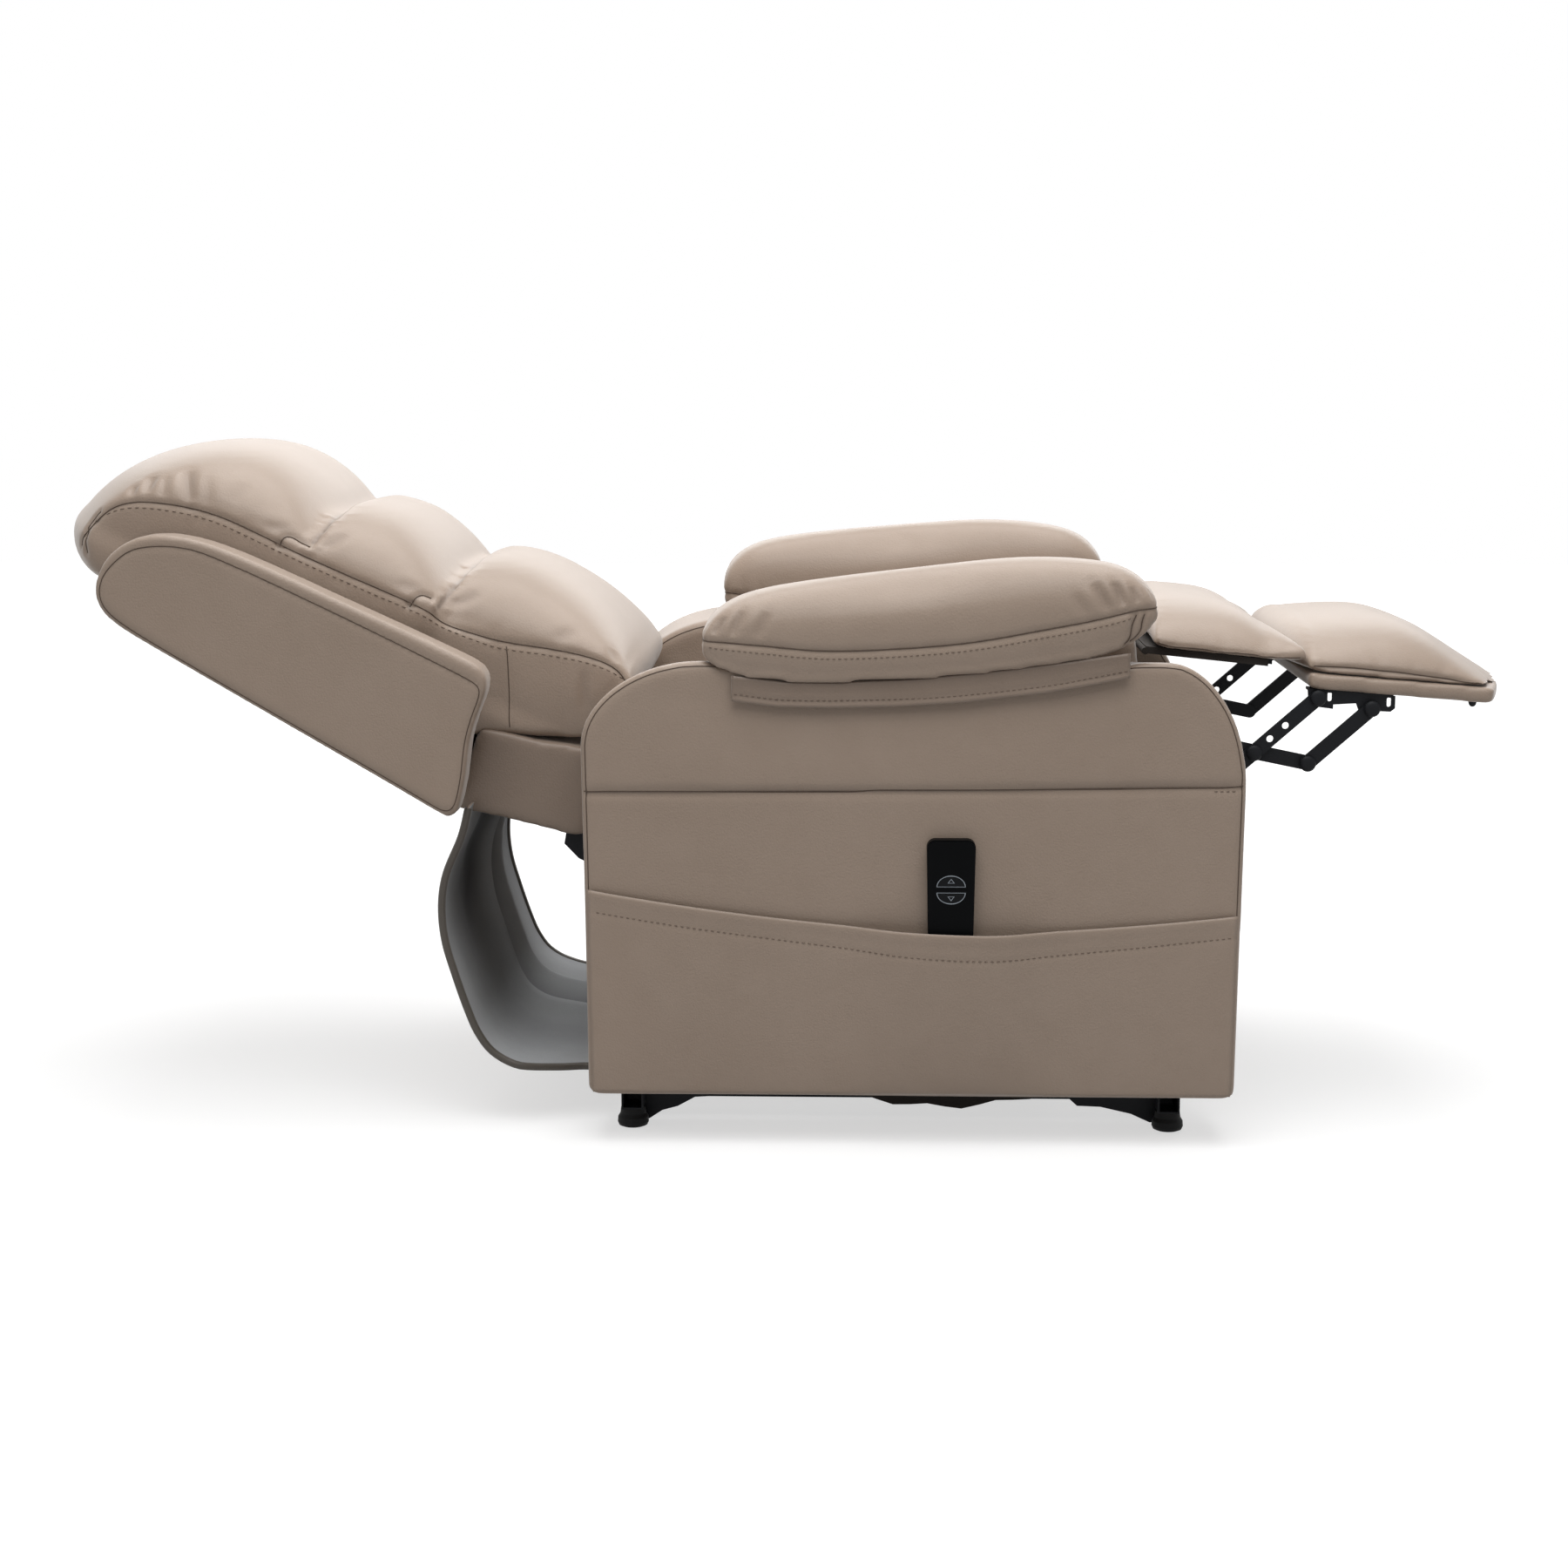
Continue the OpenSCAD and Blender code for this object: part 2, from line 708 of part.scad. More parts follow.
// Hems of the thin cloth under the arms, hanging between panel and base
module dust_cover() {
    top = arm_clear_z + 12;
    points = concat(
        [[-85, top], [-85, 44]],
        [for (i = [0:12]) [mix(-78, 160, i / 12), 34 - 17 * sin(180 * i / 12) + 3 * sin(90 * i)]],
        [[165, 44], [165, top]]
    );
    color(cloth_grey) chair() both_sides() slab(arm_in - 1.8, 1.5) polygon(points);
}

// ---- arms ----

arm_outline =
    let (
        front = shoulder(arm_front - front_shoulder_len, arm_top_z - front_shoulder_drop,
            front_shoulder_len, front_shoulder_drop, 9),
        rear = shoulder(arm_rear - rear_shoulder_len, arm_top_z - rear_shoulder_drop,
            rear_shoulder_len, rear_shoulder_drop, 9)
    )
    concat(
        [[-arm_rear + arm_taper, arm_clear_z], [arm_front - arm_taper, arm_clear_z]],
        [for (i = [9:-1:0]) front[i]],
        [for (q = rear) [-q[0], q[1]]]
    );

module arm_panel() {
    color(leather) padded_panel(arm_outline, arm_in, arm_out, arm_edge);
}

module right_arm_panel() {
    chair() mirror([0, 1, 0]) arm_panel();
}

module left_arm_panel() {
    chair() arm_panel();
}

pad_from = -237;
pad_to = 271;
pad_level = arm_top_z + seat_gap;
pad_top = [
    [pad_from, 31], [-231, 50], [-208, 73], [-165, 86], [-90, 96], [14, 107],
    [105, arm_pad_rise], [175, arm_pad_rise], [226, arm_pad_rise - 6], [252, arm_pad_rise - 19],
    [266, arm_pad_rise - 37], [pad_to, 66]
];
pad_seam = [[pad_from, 29], [-169, 24], [-84, 18], [48, 26], [142, 42], [199, 53], [pad_to, 64]];
pad_under = [
    [pad_from, 22], [-230, 2], [-203, -12], [-141, -20], [-84, -20], [1, -16], [96, -7],
    [190, 7], [237, 20], [258, 38], [pad_to, 58]
];

// Arm pad: domed on top, rolled over the panel's outer face
module arm_pad(extra) {
    rest_half = (arm_thick + arm_pad_out + arm_pad_in) / 2;
    mid = (arm_in - arm_pad_in + arm_out + arm_pad_out) / 2;
    n = 15;
    rings = [for (j = [0:n])
        let (
            s = (1 - cos(180 * j / n)) / 2,
            x = mix(pad_from, pad_to, s),
            up = arm_top_z + at(pad_top, x) + extra * (1 - pow(s, 1.5)),
            seam = arm_top_z + at(pad_seam, x),
            low = arm_top_z + at(pad_under, x),
            half = rest_half * (1 - 0.2 * pow(abs(2 * s - 1), 8)),
            out = mid + half,
            step = min(arm_out + flap_thick + 2 * seat_gap, out - 8),
            floor_z = max(pad_level, low + 1.5),
            dome = [for (i = [0:9]) let (a = 20 * i)
                [x, mid - half * sign(cos(a)) * pow(abs(cos(a)), 0.7),
                    seam + (up - seam) * pow(sin(a), 0.75) + 0.5]]
        )
        concat(dome, [
            [x, out - 1, mix(seam, low, 0.45)], [x, out - 6, mix(seam, low, 0.85)],
            [x, mix(step, out, 0.4), low], [x, step, low + 0.8],
            [x, step - 0.4, floor_z + 0.2], [x, mid - half + 3, floor_z]
        ])];
    color(leather) skin(rings);
}

module right_arm_pad() {
    chair() mirror([0, 1, 0]) arm_pad(0);
}

module left_arm_pad() {
    chair() translate([-left_pad_back, 0, 0]) arm_pad(left_pad_rise);
}

// Leather flap that hangs from under the pad against the panel
module arm_flap() {
    low = arm_top_z - flap_drop;
    points = [
        [-200, arm_top_z - 18], [-198, low + 7], [-150, low + 1], [-94, low], [-20, low + 1.5],
        [49, low + 6], [144, low + 17], [200, low + 27], [235, low + 34],
        [236, arm_top_z - 2], [150, arm_top_z - 3], [-150, arm_top_z - 12]
    ];
    color(leather) slab(arm_out + seat_gap, flap_thick) polygon(points);
}

module right_arm_flap() {
    chair() mirror([0, 1, 0]) arm_flap();
}

module left_arm_flap() {
    chair() arm_flap();
}

pocket_foot = arm_clear_z + 5;

// Height of the hem, and depth of the pocket behind the leather
function hem_z(x) = pocket_hem_z + (x < 90
    ? hem_rise_rear * pow((90 - x) / (arm_rear + 90), 1.7)
    : hem_rise_front * pow((x - 90) / (arm_front - 90), 1.5));
function pocket_gap(x, k) = seat_gap + pow(k, 0.5) * (
    pocket_depth * pow(sin(180 * (x + arm_rear) / (arm_rear + arm_front)), 0.4)
    + (handset_t + 3.2 - 0.6 * pocket_depth) * exp(-pow((x - handset_x) / 95, 4)));

// Pocket leather sewn to the panel at both ends and below, open at its hem
module side_pocket() {
    nx = 20;
    nz = 5;
    inset_x = arm_edge + 1;
    grid = function (extra) [for (i = [0:nx])
        [for (k = [0:nz])
            let (
                x = mix(-arm_rear + inset_x + 1, arm_front - inset_x - 1, i / nx),
                z = mix(pocket_foot, hem_z(x), k / nz)
            )
            [x + (arm_taper * (1 - (z - arm_clear_z) / 400)) * (x < 0 ? 1 : -1) * abs(x) / arm_rear,
                arm_out + pocket_gap(x, k / nz) + extra, z]]];
    color(leather) chair() mirror([0, 1, 0]) sheet(grid(0), grid(pocket_thick));
}

// ---- handset ----

button_mid_z = handset_z + handset_h - 55;
button_gap = 4;
button_pocket = 3.2;
button_t = 2.4;
handset_face = arm_out + seat_gap + handset_t;

module half_button(r, grow, up) {
    translate([handset_x, button_mid_z]) intersection() {
        circle(r = r + grow);
        translate([-2 * r, up ? button_gap / 2 - grow : -2 * r])
            square([4 * r, 2 * r - button_gap / 2 + grow]);
    }
}

module handset() {
    x0 = handset_x - handset_w / 2;
    outline = rounded([
        [x0 + 3, handset_z, 10], [x0 + handset_w - 3, handset_z, 10],
        [x0 + handset_w, handset_z + handset_h, 9], [x0, handset_z + handset_h, 9]
    ], 6);
    color(black) chair() mirror([0, 1, 0]) difference() {
        union() {
            slab(arm_out + seat_gap, handset_t - 3) polygon(outline);
            slab(arm_out + seat_gap + 2, handset_t - 2) polygon(inset(outline, 1.6));
        }
        slab(handset_face - button_pocket, button_pocket + 1) {
            half_button(button_r, 0.25, true);
            half_button(button_r, 0.25, false);
        }
    }
}

module button(up) {
    color([0.14, 0.14, 0.15]) chair() mirror([0, 1, 0])
        slab(handset_face - button_pocket + button_travel + 0.2, button_t) half_button(button_r, 0, up);
}

module up_button() {
    button(true);
}

module down_button() {
    button(false);
}

// ---- back ----

// Back coordinates: drawn with -u along X and v along Z, then leaned back
module on_back() {
    translate([-pivot_x, 0, pivot_z]) rotate([0, back_slope, 0]) children();
}

// Turns a line [u, v] into [-u, v], in reverse order
function flip(p) = [for (i = [len(p) - 1:-1:0]) [-p[i][0], p[i][1]]];

// Height of a line at v above the frame's rear face, at u up the back
function frame_v(u, v) = v / cos(frame_tilt) + max(u - frame_bottom_u, 0) * tan(frame_tilt);
function base_v(u) = frame_v(u, frame_high_v + soft_gap);

// Frame coordinates: the same, from the frame's foot and along its slope
module on_frame() {
    on_back() translate([-frame_bottom_u, 0, 0]) rotate([0, frame_tilt, 0]) children();
}

module back_bracket() {
    slab(bracket_back_y, plate_t) difference() {
        union() {
            circle(r = 16);
            polygon(flip([[8, -14], [69, -12], [91, -3], [94, 9], [106, 18], [frame_bottom_u, 18],
                [330, frame_v(330, 15)], [330, frame_v(330, 46)], [frame_bottom_u, 46], [96, 46],
                [40, 30], [-4, 15]]));
        }
        circle(r = 7 + fit);
        for (u = [250, 300]) translate([-u, frame_v(u, 31)]) circle(r = 4);
    }
}

module right_back_bracket() {
    color(steel) chair() on_back() mirror([0, 1, 0]) back_bracket();
}

module left_back_bracket() {
    color(steel) chair() on_back() back_bracket();
}

module back_stile() {
    translate([-frame_len, stile_in, frame_low_v])
        cube([frame_len, bracket_back_y - stile_in, frame_high_v - frame_low_v]);
}

module right_back_stile() {
    color(wood) chair() on_frame() mirror([0, 1, 0]) back_stile();
}

module left_back_stile() {
    color(wood) chair() on_frame() back_stile();
}

module back_rail(s) {
    translate([-s - 40, -stile_in, frame_low_v])
        cube([40, 2 * stile_in, frame_high_v - frame_low_v]);
}

module back_top_rail() {
    color(wood) chair() on_frame() back_rail(frame_len - 40);
}

module back_bottom_rail() {
    color(wood) chair() on_frame() back_rail(0);
}

wing_in = pillow_half + 5;

// Padded rear panel with rounded edges
module back_cover() {
    half = wing_in - seat_gap;
    r = 4;
    color(leather) chair() on_frame() translate([-frame_len, 0, 0]) hull()
        for (e = [[0, r], [r, 0], [r, cover_thick - 0.01], [0, cover_thick - r]])
            translate([e[0], -half + e[0], e[1]]) cube([frame_len - 2 * e[0], 2 * half - 2 * e[0], 0.01]);
}

// Upholstered block that closes the foot of the back
module back_lower_band() {
    color(leather_dark) chair() on_back() difference() {
        slab(-band_half, 2 * band_half) polygon(flip([
            [frame_bottom_u - 10.5, 76], [frame_bottom_u - 3, 8], [frame_bottom_u - 11, -5],
            [155, 4], [88, 15], [80, 21], [88, 100], [96, 111], [120, 108], [170, 94]
        ]));
        both_sides() slab(bracket_back_y - 0.6, plate_t + 1.2) polygon(flip([
            [60, 4], [240, 12], [240, frame_high_v + 2], [60, frame_high_v + 2]
        ]));
    }
}

// Side wing of the back: flat outer face, rounded tip and edges
wing_edge = 9;
wing_outline = rounded([
    [frame_bottom_u + 10, 162, 12], [frame_bottom_u - 13, -13, 10], [frame_top_u - 12.7, 35, 30],
    [frame_top_u + 20.3, 72, 30], [frame_top_u + 0.3, 124, 40], [frame_top_u - 82.7, 166, 50]
], 4);

module wing() {
    padded_panel(flip(wing_outline), wing_in, wing_in + wing_thick, wing_edge);
}

module right_wing() {
    color(leather) chair() on_back() mirror([0, 1, 0]) wing();
}

module left_wing() {
    color(leather) chair() on_back() wing();
}

function raise(p) = flip([for (q = p) [q[0], base_v(q[0]) + (q[1] - base_v(q[0])) * pillow_crown]]);

// The pillows butt at these distances up the back
join_head = 488;
join_lumbar = 326;

head_crown = [
    [join_head + 2, 214], [507, 243], [550, 263], [600, 270], [650, 257], [700, 230],
    [745, 193], [780, 141], [790, 100], [780, 72], [748, 52]
];
head_seam = [
    [join_head + 2, 182], [507, 187], [556, 190], [600, 189], [645, 180], [690, 167],
    [715, 150], [727, 125], [722, 100], [708, 84], [694, 74]
];
head_base = [
    [frame_top_u + 12, 62], [frame_top_u + 2, base_v(frame_top_u)], [580, base_v(580)],
    [join_head + 2, base_v(join_head)]
];

module head_pillow() {
    color(leather) chair() on_back()
        cushion(raise(head_crown), raise(head_seam), flip(head_base), pillow_half, 3.2, 5, 16, 13, 34);
}

middle_crown = [
    [join_lumbar + 2, 216], [345, 236], [371, 251], [409, 263], [440, 264], [470, 254],
    [join_head - 1, 224]
];
middle_seam = [
    [join_lumbar + 2, 184], [345, 187], [371, 187], [409, 187], [440, 186], [470, 186],
    [join_head - 1, 182]
];
middle_base = [
    [join_head - 1, base_v(join_head)], [409, base_v(409)], [join_lumbar + 2, base_v(join_lumbar)]
];

module middle_pillow() {
    color(leather) chair() on_back()
        cushion(raise(middle_crown), raise(middle_seam), flip(middle_base), pillow_half, 3.2, 5);
}

lumbar_crown = [
    [88, 186], [91, 210], [105, 229], [135, 246], [180, 264], [237, 273], [280, 271],
    [308, 259], [join_lumbar, 230]
];
lumbar_seam = [
    [92, 168], [90, 188], [98, 206], [125, 214], [175, 206], [226, 190], [263, 184],
    [300, 186], [join_lumbar, 182]
];
lumbar_base = [
    [join_lumbar, base_v(join_lumbar)], [270, base_v(270)], [222, 80], [170, 99], [122, 114],
    [104, 120], [94, 140]
];

module lumbar_pillow() {
    color(leather) chair() on_back()
        cushion(raise(lumbar_crown), raise(lumbar_seam), flip(lumbar_base), lumbar_half, 3.2, 5, 16, 13);
}

// ---- cloth at the rear ----

skirt_half = 288;
skirt_thick = 2.2;
skirt_draw = 0.105;
skirt_path = [
    [-506, 366], [-516, 330], [-532, 293], [-537, 256], [-534, 216], [-523, 176],
    [-509, 134], [-497, 106], [-480, 84], [-452, 69], [-412, 63], [-378, 61], [-345, 61]
];

// Cloth that hangs from the back's lower edge and runs in under the chair
module rear_skirt() {
    nj = 16;
    ni = 12;
    at = function (y, s, off)
        let (
            p = curve(skirt_path, s),
            q = curve(skirt_path, min(s + 0.02, 1)) - curve(skirt_path, max(s - 0.02, 0)),
            normal = [-q[1], q[0]] / norm(q),
            ripple = 9 * sin(180 * s) * sin(3.9 * y) * (1 - pow(y / skirt_half, 2)) + off,
            flare = 1 - skirt_draw * min(max((s - 0.76) / 0.16, 0), 1)
        )
        [p[0] + normal[0] * ripple, y * flare, p[1] + normal[1] * ripple];
    grid = function (off) [for (j = [0:nj])
        [for (i = [0:ni]) at(mix(-skirt_half, skirt_half, j / nj), i / ni, off)]];
    color(cloth_grey) chair() sheet(grid(0), grid(skirt_thick));
}

// ---- footrest ----

// A link plate with its bores, and the rivets that it carries
module link_plate(a, b, y, bores) {
    slab(y, bar_t) difference() {
        bar(a, b, bar_w);
        for (p = bores) translate(p) circle(r = rivet_r + fit);
    }
}

module rivet(p, y_from, y_to) {
    pin(p, rivet_r, y_from, y_to + 1);
    pin(p, rivet_r + 3, y_to + seat_gap, y_to + 3);
}

module lower_links() {
    color(steel) chair() both_sides() {
        slab(inner_y, bar_t) difference() {
            hull() for (p = [pivot_g1, pivot_v]) translate(p) circle(d = bar_w);
            translate(pivot_g1) circle(r = rivet_r + fit);
        }
        for (p = [pivot_c, pivot_v]) rivet(p, inner_y + 1, outer_y + bar_t);
    }
}

cross_at = pivot_g1 + [120, -14];

module leg_cross_tube() {
    color(steel) chair() difference() {
        pin(cross_at, 9, -inner_y, inner_y);
        pin(cross_at, 7, -inner_y - 1, inner_y + 1);
    }
}

module long_links() {
    color(steel) chair() both_sides() {
        slab(outer_y, bar_t) difference() {
            bar(pivot_e, pivot_r, bar_w);
            for (p = [pivot_c, pivot_r]) translate(p) circle(r = rivet_r + fit);
            for (k = [24, 47]) translate(pivot_c + k * along_long) circle(r = 4);
        }
        pin(pivot_e, rivet_r, inner_y - 1, outer_y);
        pin(pivot_e, rivet_r + 3, inner_y - 3, inner_y - seat_gap);
    }
}

module front_links() {
    color(steel) chair() both_sides() link_plate(pivot_v, pivot_f, outer_y, [pivot_v, pivot_f]);
}

module drive_links() {
    color(steel) chair() both_sides() link_plate(pivot_g2, pivot_e, inner_y, [pivot_g2, pivot_e]);
}

module on_footrest() {
    translate([board_at[0], 0, board_at[1]]) rotate([0, board_slope, 0]) children();
}

// Bracket under the board: notched plate, two slots and an inward flange, drawn
// from the rear rivet
bracket_edge = [
    [-11, 9.9], [88, 1.9], [88, -12], [83, -16], [47, -14.5], [44, -6.5], [18, -8],
    [18, -13], [-5, -10], [-10, -2]
];
bracket_slots = [[14, 1], [81, -5]];

module footrest_brackets() {
    color(steel) chair() both_sides() {
        slab(inner_y, bar_t) difference() {
            union() {
                polygon([for (q = bracket_edge) pivot_r + q]);
                translate(pivot_r) circle(r = 9);
                translate(pivot_f) circle(r = 10);
            }
            for (s = bracket_slots) translate(pivot_r + s) {
                translate([-2.6, -3]) square([5.2, 6]);
                for (z = [-3, 3]) translate([0, z]) circle(r = 2.6);
            }
        }
        for (p = [pivot_r, pivot_f]) rivet(p, inner_y + bar_t, outer_y + bar_t);
        on_footrest() translate([6, inner_y - 22, -foot_board - seat_gap - 3])
            cube([96, 22 + bar_t, 3]);
    }
}

function foot_front(y, half) = foot_len + foot_bow * (1 - pow(y / half, 2));

module footrest_board() {
    n = 16;
    edge = [for (i = [0:n]) let (y = mix(-foot_half, foot_half, i / n)) [foot_front(y, foot_half), y]];
    color(leather_dark) chair() on_footrest() translate([0, 0, -foot_board])
        linear_extrude(foot_board) polygon(concat([[3, -foot_half]], edge, [[3, foot_half]]));
}

foot_crown = [
    [0, 12], [5, 38], [22, 51], [50, 57], [85, foot_rise], [115, 60], [139, 55],
    [168, 42], [195, 28], [228, 14], [foot_len + foot_bow + 2, 2]
];
foot_seam = [[0, 8], [10, 10], [50, 11], [100, 10], [139, 9], [180, 7], [200, 5], [foot_len + 2, 2]];

// Each pad is bowed where the two meet
function join_shift(y) = -join_bow * (1 - pow(y / foot_half, 2));

module bowed_pad(crown, seam, base_z, bow_from, bow_to, length) {
    nt = 14;
    ns = 10;
    rings = [for (j = [nt:-1:0])
        let (
            t = -cos(180 * j / nt),
            full = pow(1 - pow(abs(t), 3.4), 0.6),
            y = foot_half * t,
            lift = function (q) let (k = min(max(q[0] / length, 0), 1))
                [q[0] + bow_from(y) * (1 - k) + bow_to(y) * k, y, q[1]]
        )
        concat(
            [for (i = [0:ns]) lift(mix(curve(seam, i / ns), curve(crown, i / ns), full))],
            [for (s = [1, 0.66, 0.33, 0]) lift([length * s, base_z])]
        )];
    skin(rings);
}

module footrest_pad() {
    color(leather) chair() on_footrest() bowed_pad(
        [for (q = foot_crown) [q[0] * foot_len / (foot_len + foot_bow), q[1]]], foot_seam, soft_gap,
        function (y) join_shift(y) + 2, function (y) foot_front(y, foot_half) - foot_len + 1, foot_len
    );
}

module on_calf() {
    translate([calf_at[0], 0, calf_at[1]]) rotate([0, calf_slope, 0]) children();
}

calf_len = calf_reach - calf_at[0];
hinge_roll = 4;
calf_hinge = [265.7, 546];

module calf_board() {
    half = foot_half - 14;
    color(leather_dark) chair() {
        on_calf() translate([calf_hinge[0] - calf_at[0], -half, 0])
            cube([calf_len - join_bow - 7, 2 * half, calf_board_t]);
        pin(calf_hinge, hinge_roll, -half, half);
    }
}

calf_crown = [
    [2, 34], [6, 54], [17, calf_board_t + calf_rise], [61, 64], [104, 57], [148, 44],
    [168, 32], [calf_len - 1, 15]
];
calf_seam = [
    [2, 10], [6, 12], [20, 13], [61, 13], [104, 12], [148, 12], [168, 12], [calf_len - 1, 11]
];

module calf_pad() {
    color(leather) chair() on_calf() bowed_pad(
        calf_crown, calf_seam, calf_board_t + soft_gap,
        function (y) 0, function (y) join_shift(y), calf_len
    );
}

base_right_rail();
base_left_rail();
base_front_tube();
base_rear_tube();
feet();
right_lift_arm();
left_lift_arm();
lift_torque_tube();
right_lift_link();
left_lift_link();
motor_housing();
actuator_tube();
actuator_rod();
right_side_plate();
left_side_plate();
frame_front_tube();
frame_rear_tube();
skirt_rail();
seat_front_rail();
seat_rear_rail();
seat_springs();
seat_cushion();
seat_apron();
dust_cover();
right_arm_panel();
left_arm_panel();
right_arm_pad();
left_arm_pad();
right_arm_flap();
left_arm_flap();
side_pocket();
handset();
up_button();
down_button();
rear_skirt();
right_back_bracket();
left_back_bracket();
right_back_stile();
left_back_stile();
back_top_rail();
back_bottom_rail();
back_cover();
back_lower_band();
right_wing();
left_wing();
head_pillow();
middle_pillow();
lumbar_pillow();
lower_links();
leg_cross_tube();
long_links();
front_links();
drive_links();
footrest_brackets();
footrest_board();
footrest_pad();
calf_board();
calf_pad();
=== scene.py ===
import json
import math
import random

import bmesh
import bpy
import numpy as np
from mathutils import Matrix, Vector
from mathutils.bvhtree import BVHTree


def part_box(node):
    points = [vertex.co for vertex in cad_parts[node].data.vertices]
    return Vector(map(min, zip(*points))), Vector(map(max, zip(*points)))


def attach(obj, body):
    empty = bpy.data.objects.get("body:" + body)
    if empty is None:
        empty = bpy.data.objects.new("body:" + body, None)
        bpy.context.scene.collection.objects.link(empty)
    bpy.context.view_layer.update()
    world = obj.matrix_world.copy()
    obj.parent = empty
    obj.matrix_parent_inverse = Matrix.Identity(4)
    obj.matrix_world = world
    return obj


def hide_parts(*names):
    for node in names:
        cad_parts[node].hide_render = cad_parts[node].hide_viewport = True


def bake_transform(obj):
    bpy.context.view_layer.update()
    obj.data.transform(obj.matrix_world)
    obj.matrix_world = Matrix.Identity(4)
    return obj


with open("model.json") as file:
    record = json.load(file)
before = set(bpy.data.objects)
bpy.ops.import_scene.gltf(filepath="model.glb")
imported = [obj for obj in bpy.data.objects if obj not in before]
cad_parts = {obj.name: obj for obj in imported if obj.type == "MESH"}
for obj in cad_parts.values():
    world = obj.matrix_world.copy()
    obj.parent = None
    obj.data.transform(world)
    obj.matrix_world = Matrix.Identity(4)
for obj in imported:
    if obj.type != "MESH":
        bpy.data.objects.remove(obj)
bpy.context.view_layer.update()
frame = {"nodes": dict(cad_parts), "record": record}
nodes = frame["nodes"]
scene = bpy.context.scene
print("frame loaded with", len(nodes), "nodes")

# the chair's own reference line and back pivot, in metres
armLine = 0.15
backPivot = (-0.1655, 0.286)
backSlope = math.radians(24)


def chairPoint(x, y, z):  # millimetres from the arms' reference line
    return Vector((x / 1000 + armLine, y / 1000, z / 1000))


def backPoint(u, y, v):  # millimetres up the back, across, and towards the sitter
    u, v = u / 1000, v / 1000
    x = backPivot[0] - u * math.cos(backSlope) + v * math.sin(backSlope)
    z = backPivot[1] + u * math.sin(backSlope) + v * math.cos(backSlope)
    return Vector((x, y / 1000, z))


# ---- materials ----


def groupOf(name, inputs, outputs):
    tree = bpy.data.node_groups.new(name, "ShaderNodeTree")
    for label, kind, value in inputs:
        socket = tree.interface.new_socket(label, in_out="INPUT", socket_type=kind)
        if value is not None:
            socket.default_value = value
    for label, kind in outputs:
        tree.interface.new_socket(label, in_out="OUTPUT", socket_type=kind)
    return tree, tree.nodes.new("NodeGroupInput"), tree.nodes.new("NodeGroupOutput")


def mathNode(tree, kind, a, b=None, clamp=False):
    node = tree.nodes.new("ShaderNodeMath")
    node.operation = kind
    node.use_clamp = clamp
    for socket, value in zip(node.inputs, (a, b)):
        if value is None:
            continue
        if isinstance(value, (int, float)):
            socket.default_value = value
        else:
            tree.links.new(value, socket)
    return node.outputs[0]


def backdropRay(tree, *kinds):
    # rays that see the backdrop rather than carry its light
    rays = tree.nodes.new("ShaderNodeLightPath").outputs
    seen = rays["Is Camera Ray"]
    for kind in kinds:
        seen = mathNode(tree, "MAXIMUM", seen, rays[kind])
    return seen


def setInputs(node, values):
    for label, value in values.items():
        node.inputs[label].default_value = value
    return node


def noiseNode(tree, vector, scale, detail=3, rough=0.5):
    node = setInputs(tree.nodes.new("ShaderNodeTexNoise"), {"Detail": detail, "Roughness": rough})
    if isinstance(scale, (int, float)):
        node.inputs["Scale"].default_value = scale
    else:
        tree.links.new(scale, node.inputs["Scale"])
    tree.links.new(vector, node.inputs["Vector"])
    return node.outputs["Fac"]


def pebbleGrain():
    # leather grain: small cells with soft valleys, over broad pores and tone
    tree, inp, out = groupOf(
        "pebbleGrain",
        [("Vector", "NodeSocketVector", None), ("Cells", "NodeSocketFloat", 420.0)],
        [("Tone", "NodeSocketFloat"), ("Height", "NodeSocketFloat"), ("Gloss", "NodeSocketFloat")],
    )
    vector = inp.outputs["Vector"]
    warp = setInputs(tree.nodes.new("ShaderNodeTexNoise"), {"Scale": 160})
    tree.links.new(vector, warp.inputs["Vector"])
    bend = tree.nodes.new("ShaderNodeVectorMath")
    bend.operation = "MULTIPLY_ADD"
    bend.inputs[1].default_value = (0.0022, 0.0022, 0.0022)
    tree.links.new(warp.outputs["Color"], bend.inputs[0])
    tree.links.new(vector, bend.inputs[2])
    cells = tree.nodes.new("ShaderNodeTexVoronoi")
    cells.feature = "SMOOTH_F1"
    setInputs(cells, {"Smoothness": 0.35})
    tree.links.new(bend.outputs[0], cells.inputs["Vector"])
    tree.links.new(inp.outputs["Cells"], cells.inputs["Scale"])
    dome = mathNode(tree, "SUBTRACT", 0.75, cells.outputs["Distance"])
    patches = noiseNode(tree, vector, 34, 4)
    deep = mathNode(tree, "MULTIPLY", dome, mathNode(tree, "ADD", patches, 0.35))
    fine = noiseNode(tree, vector, 1100, 2)
    height = mathNode(tree, "MULTIPLY_ADD", fine, 0.22)
    tree.links.new(deep, height.node.inputs[2])
    broad = noiseNode(tree, vector, 3.2, 3)
    mottle = noiseNode(tree, vector, 26, 4, 0.6)
    tone = mathNode(tree, "MULTIPLY_ADD", broad, 0.62)
    tree.links.new(mathNode(tree, "MULTIPLY", mottle, 0.38), tone.node.inputs[2])
    gloss = mathNode(tree, "MULTIPLY_ADD", dome, -0.10)
    tree.links.new(mathNode(tree, "MULTIPLY_ADD", patches, 0.12), gloss.node.inputs[2])
    gloss.node.inputs[2].default_value = 0
    tree.links.new(tone, out.inputs["Tone"])
    tree.links.new(height, out.inputs["Height"])
    tree.links.new(gloss, out.inputs["Gloss"])
    return tree


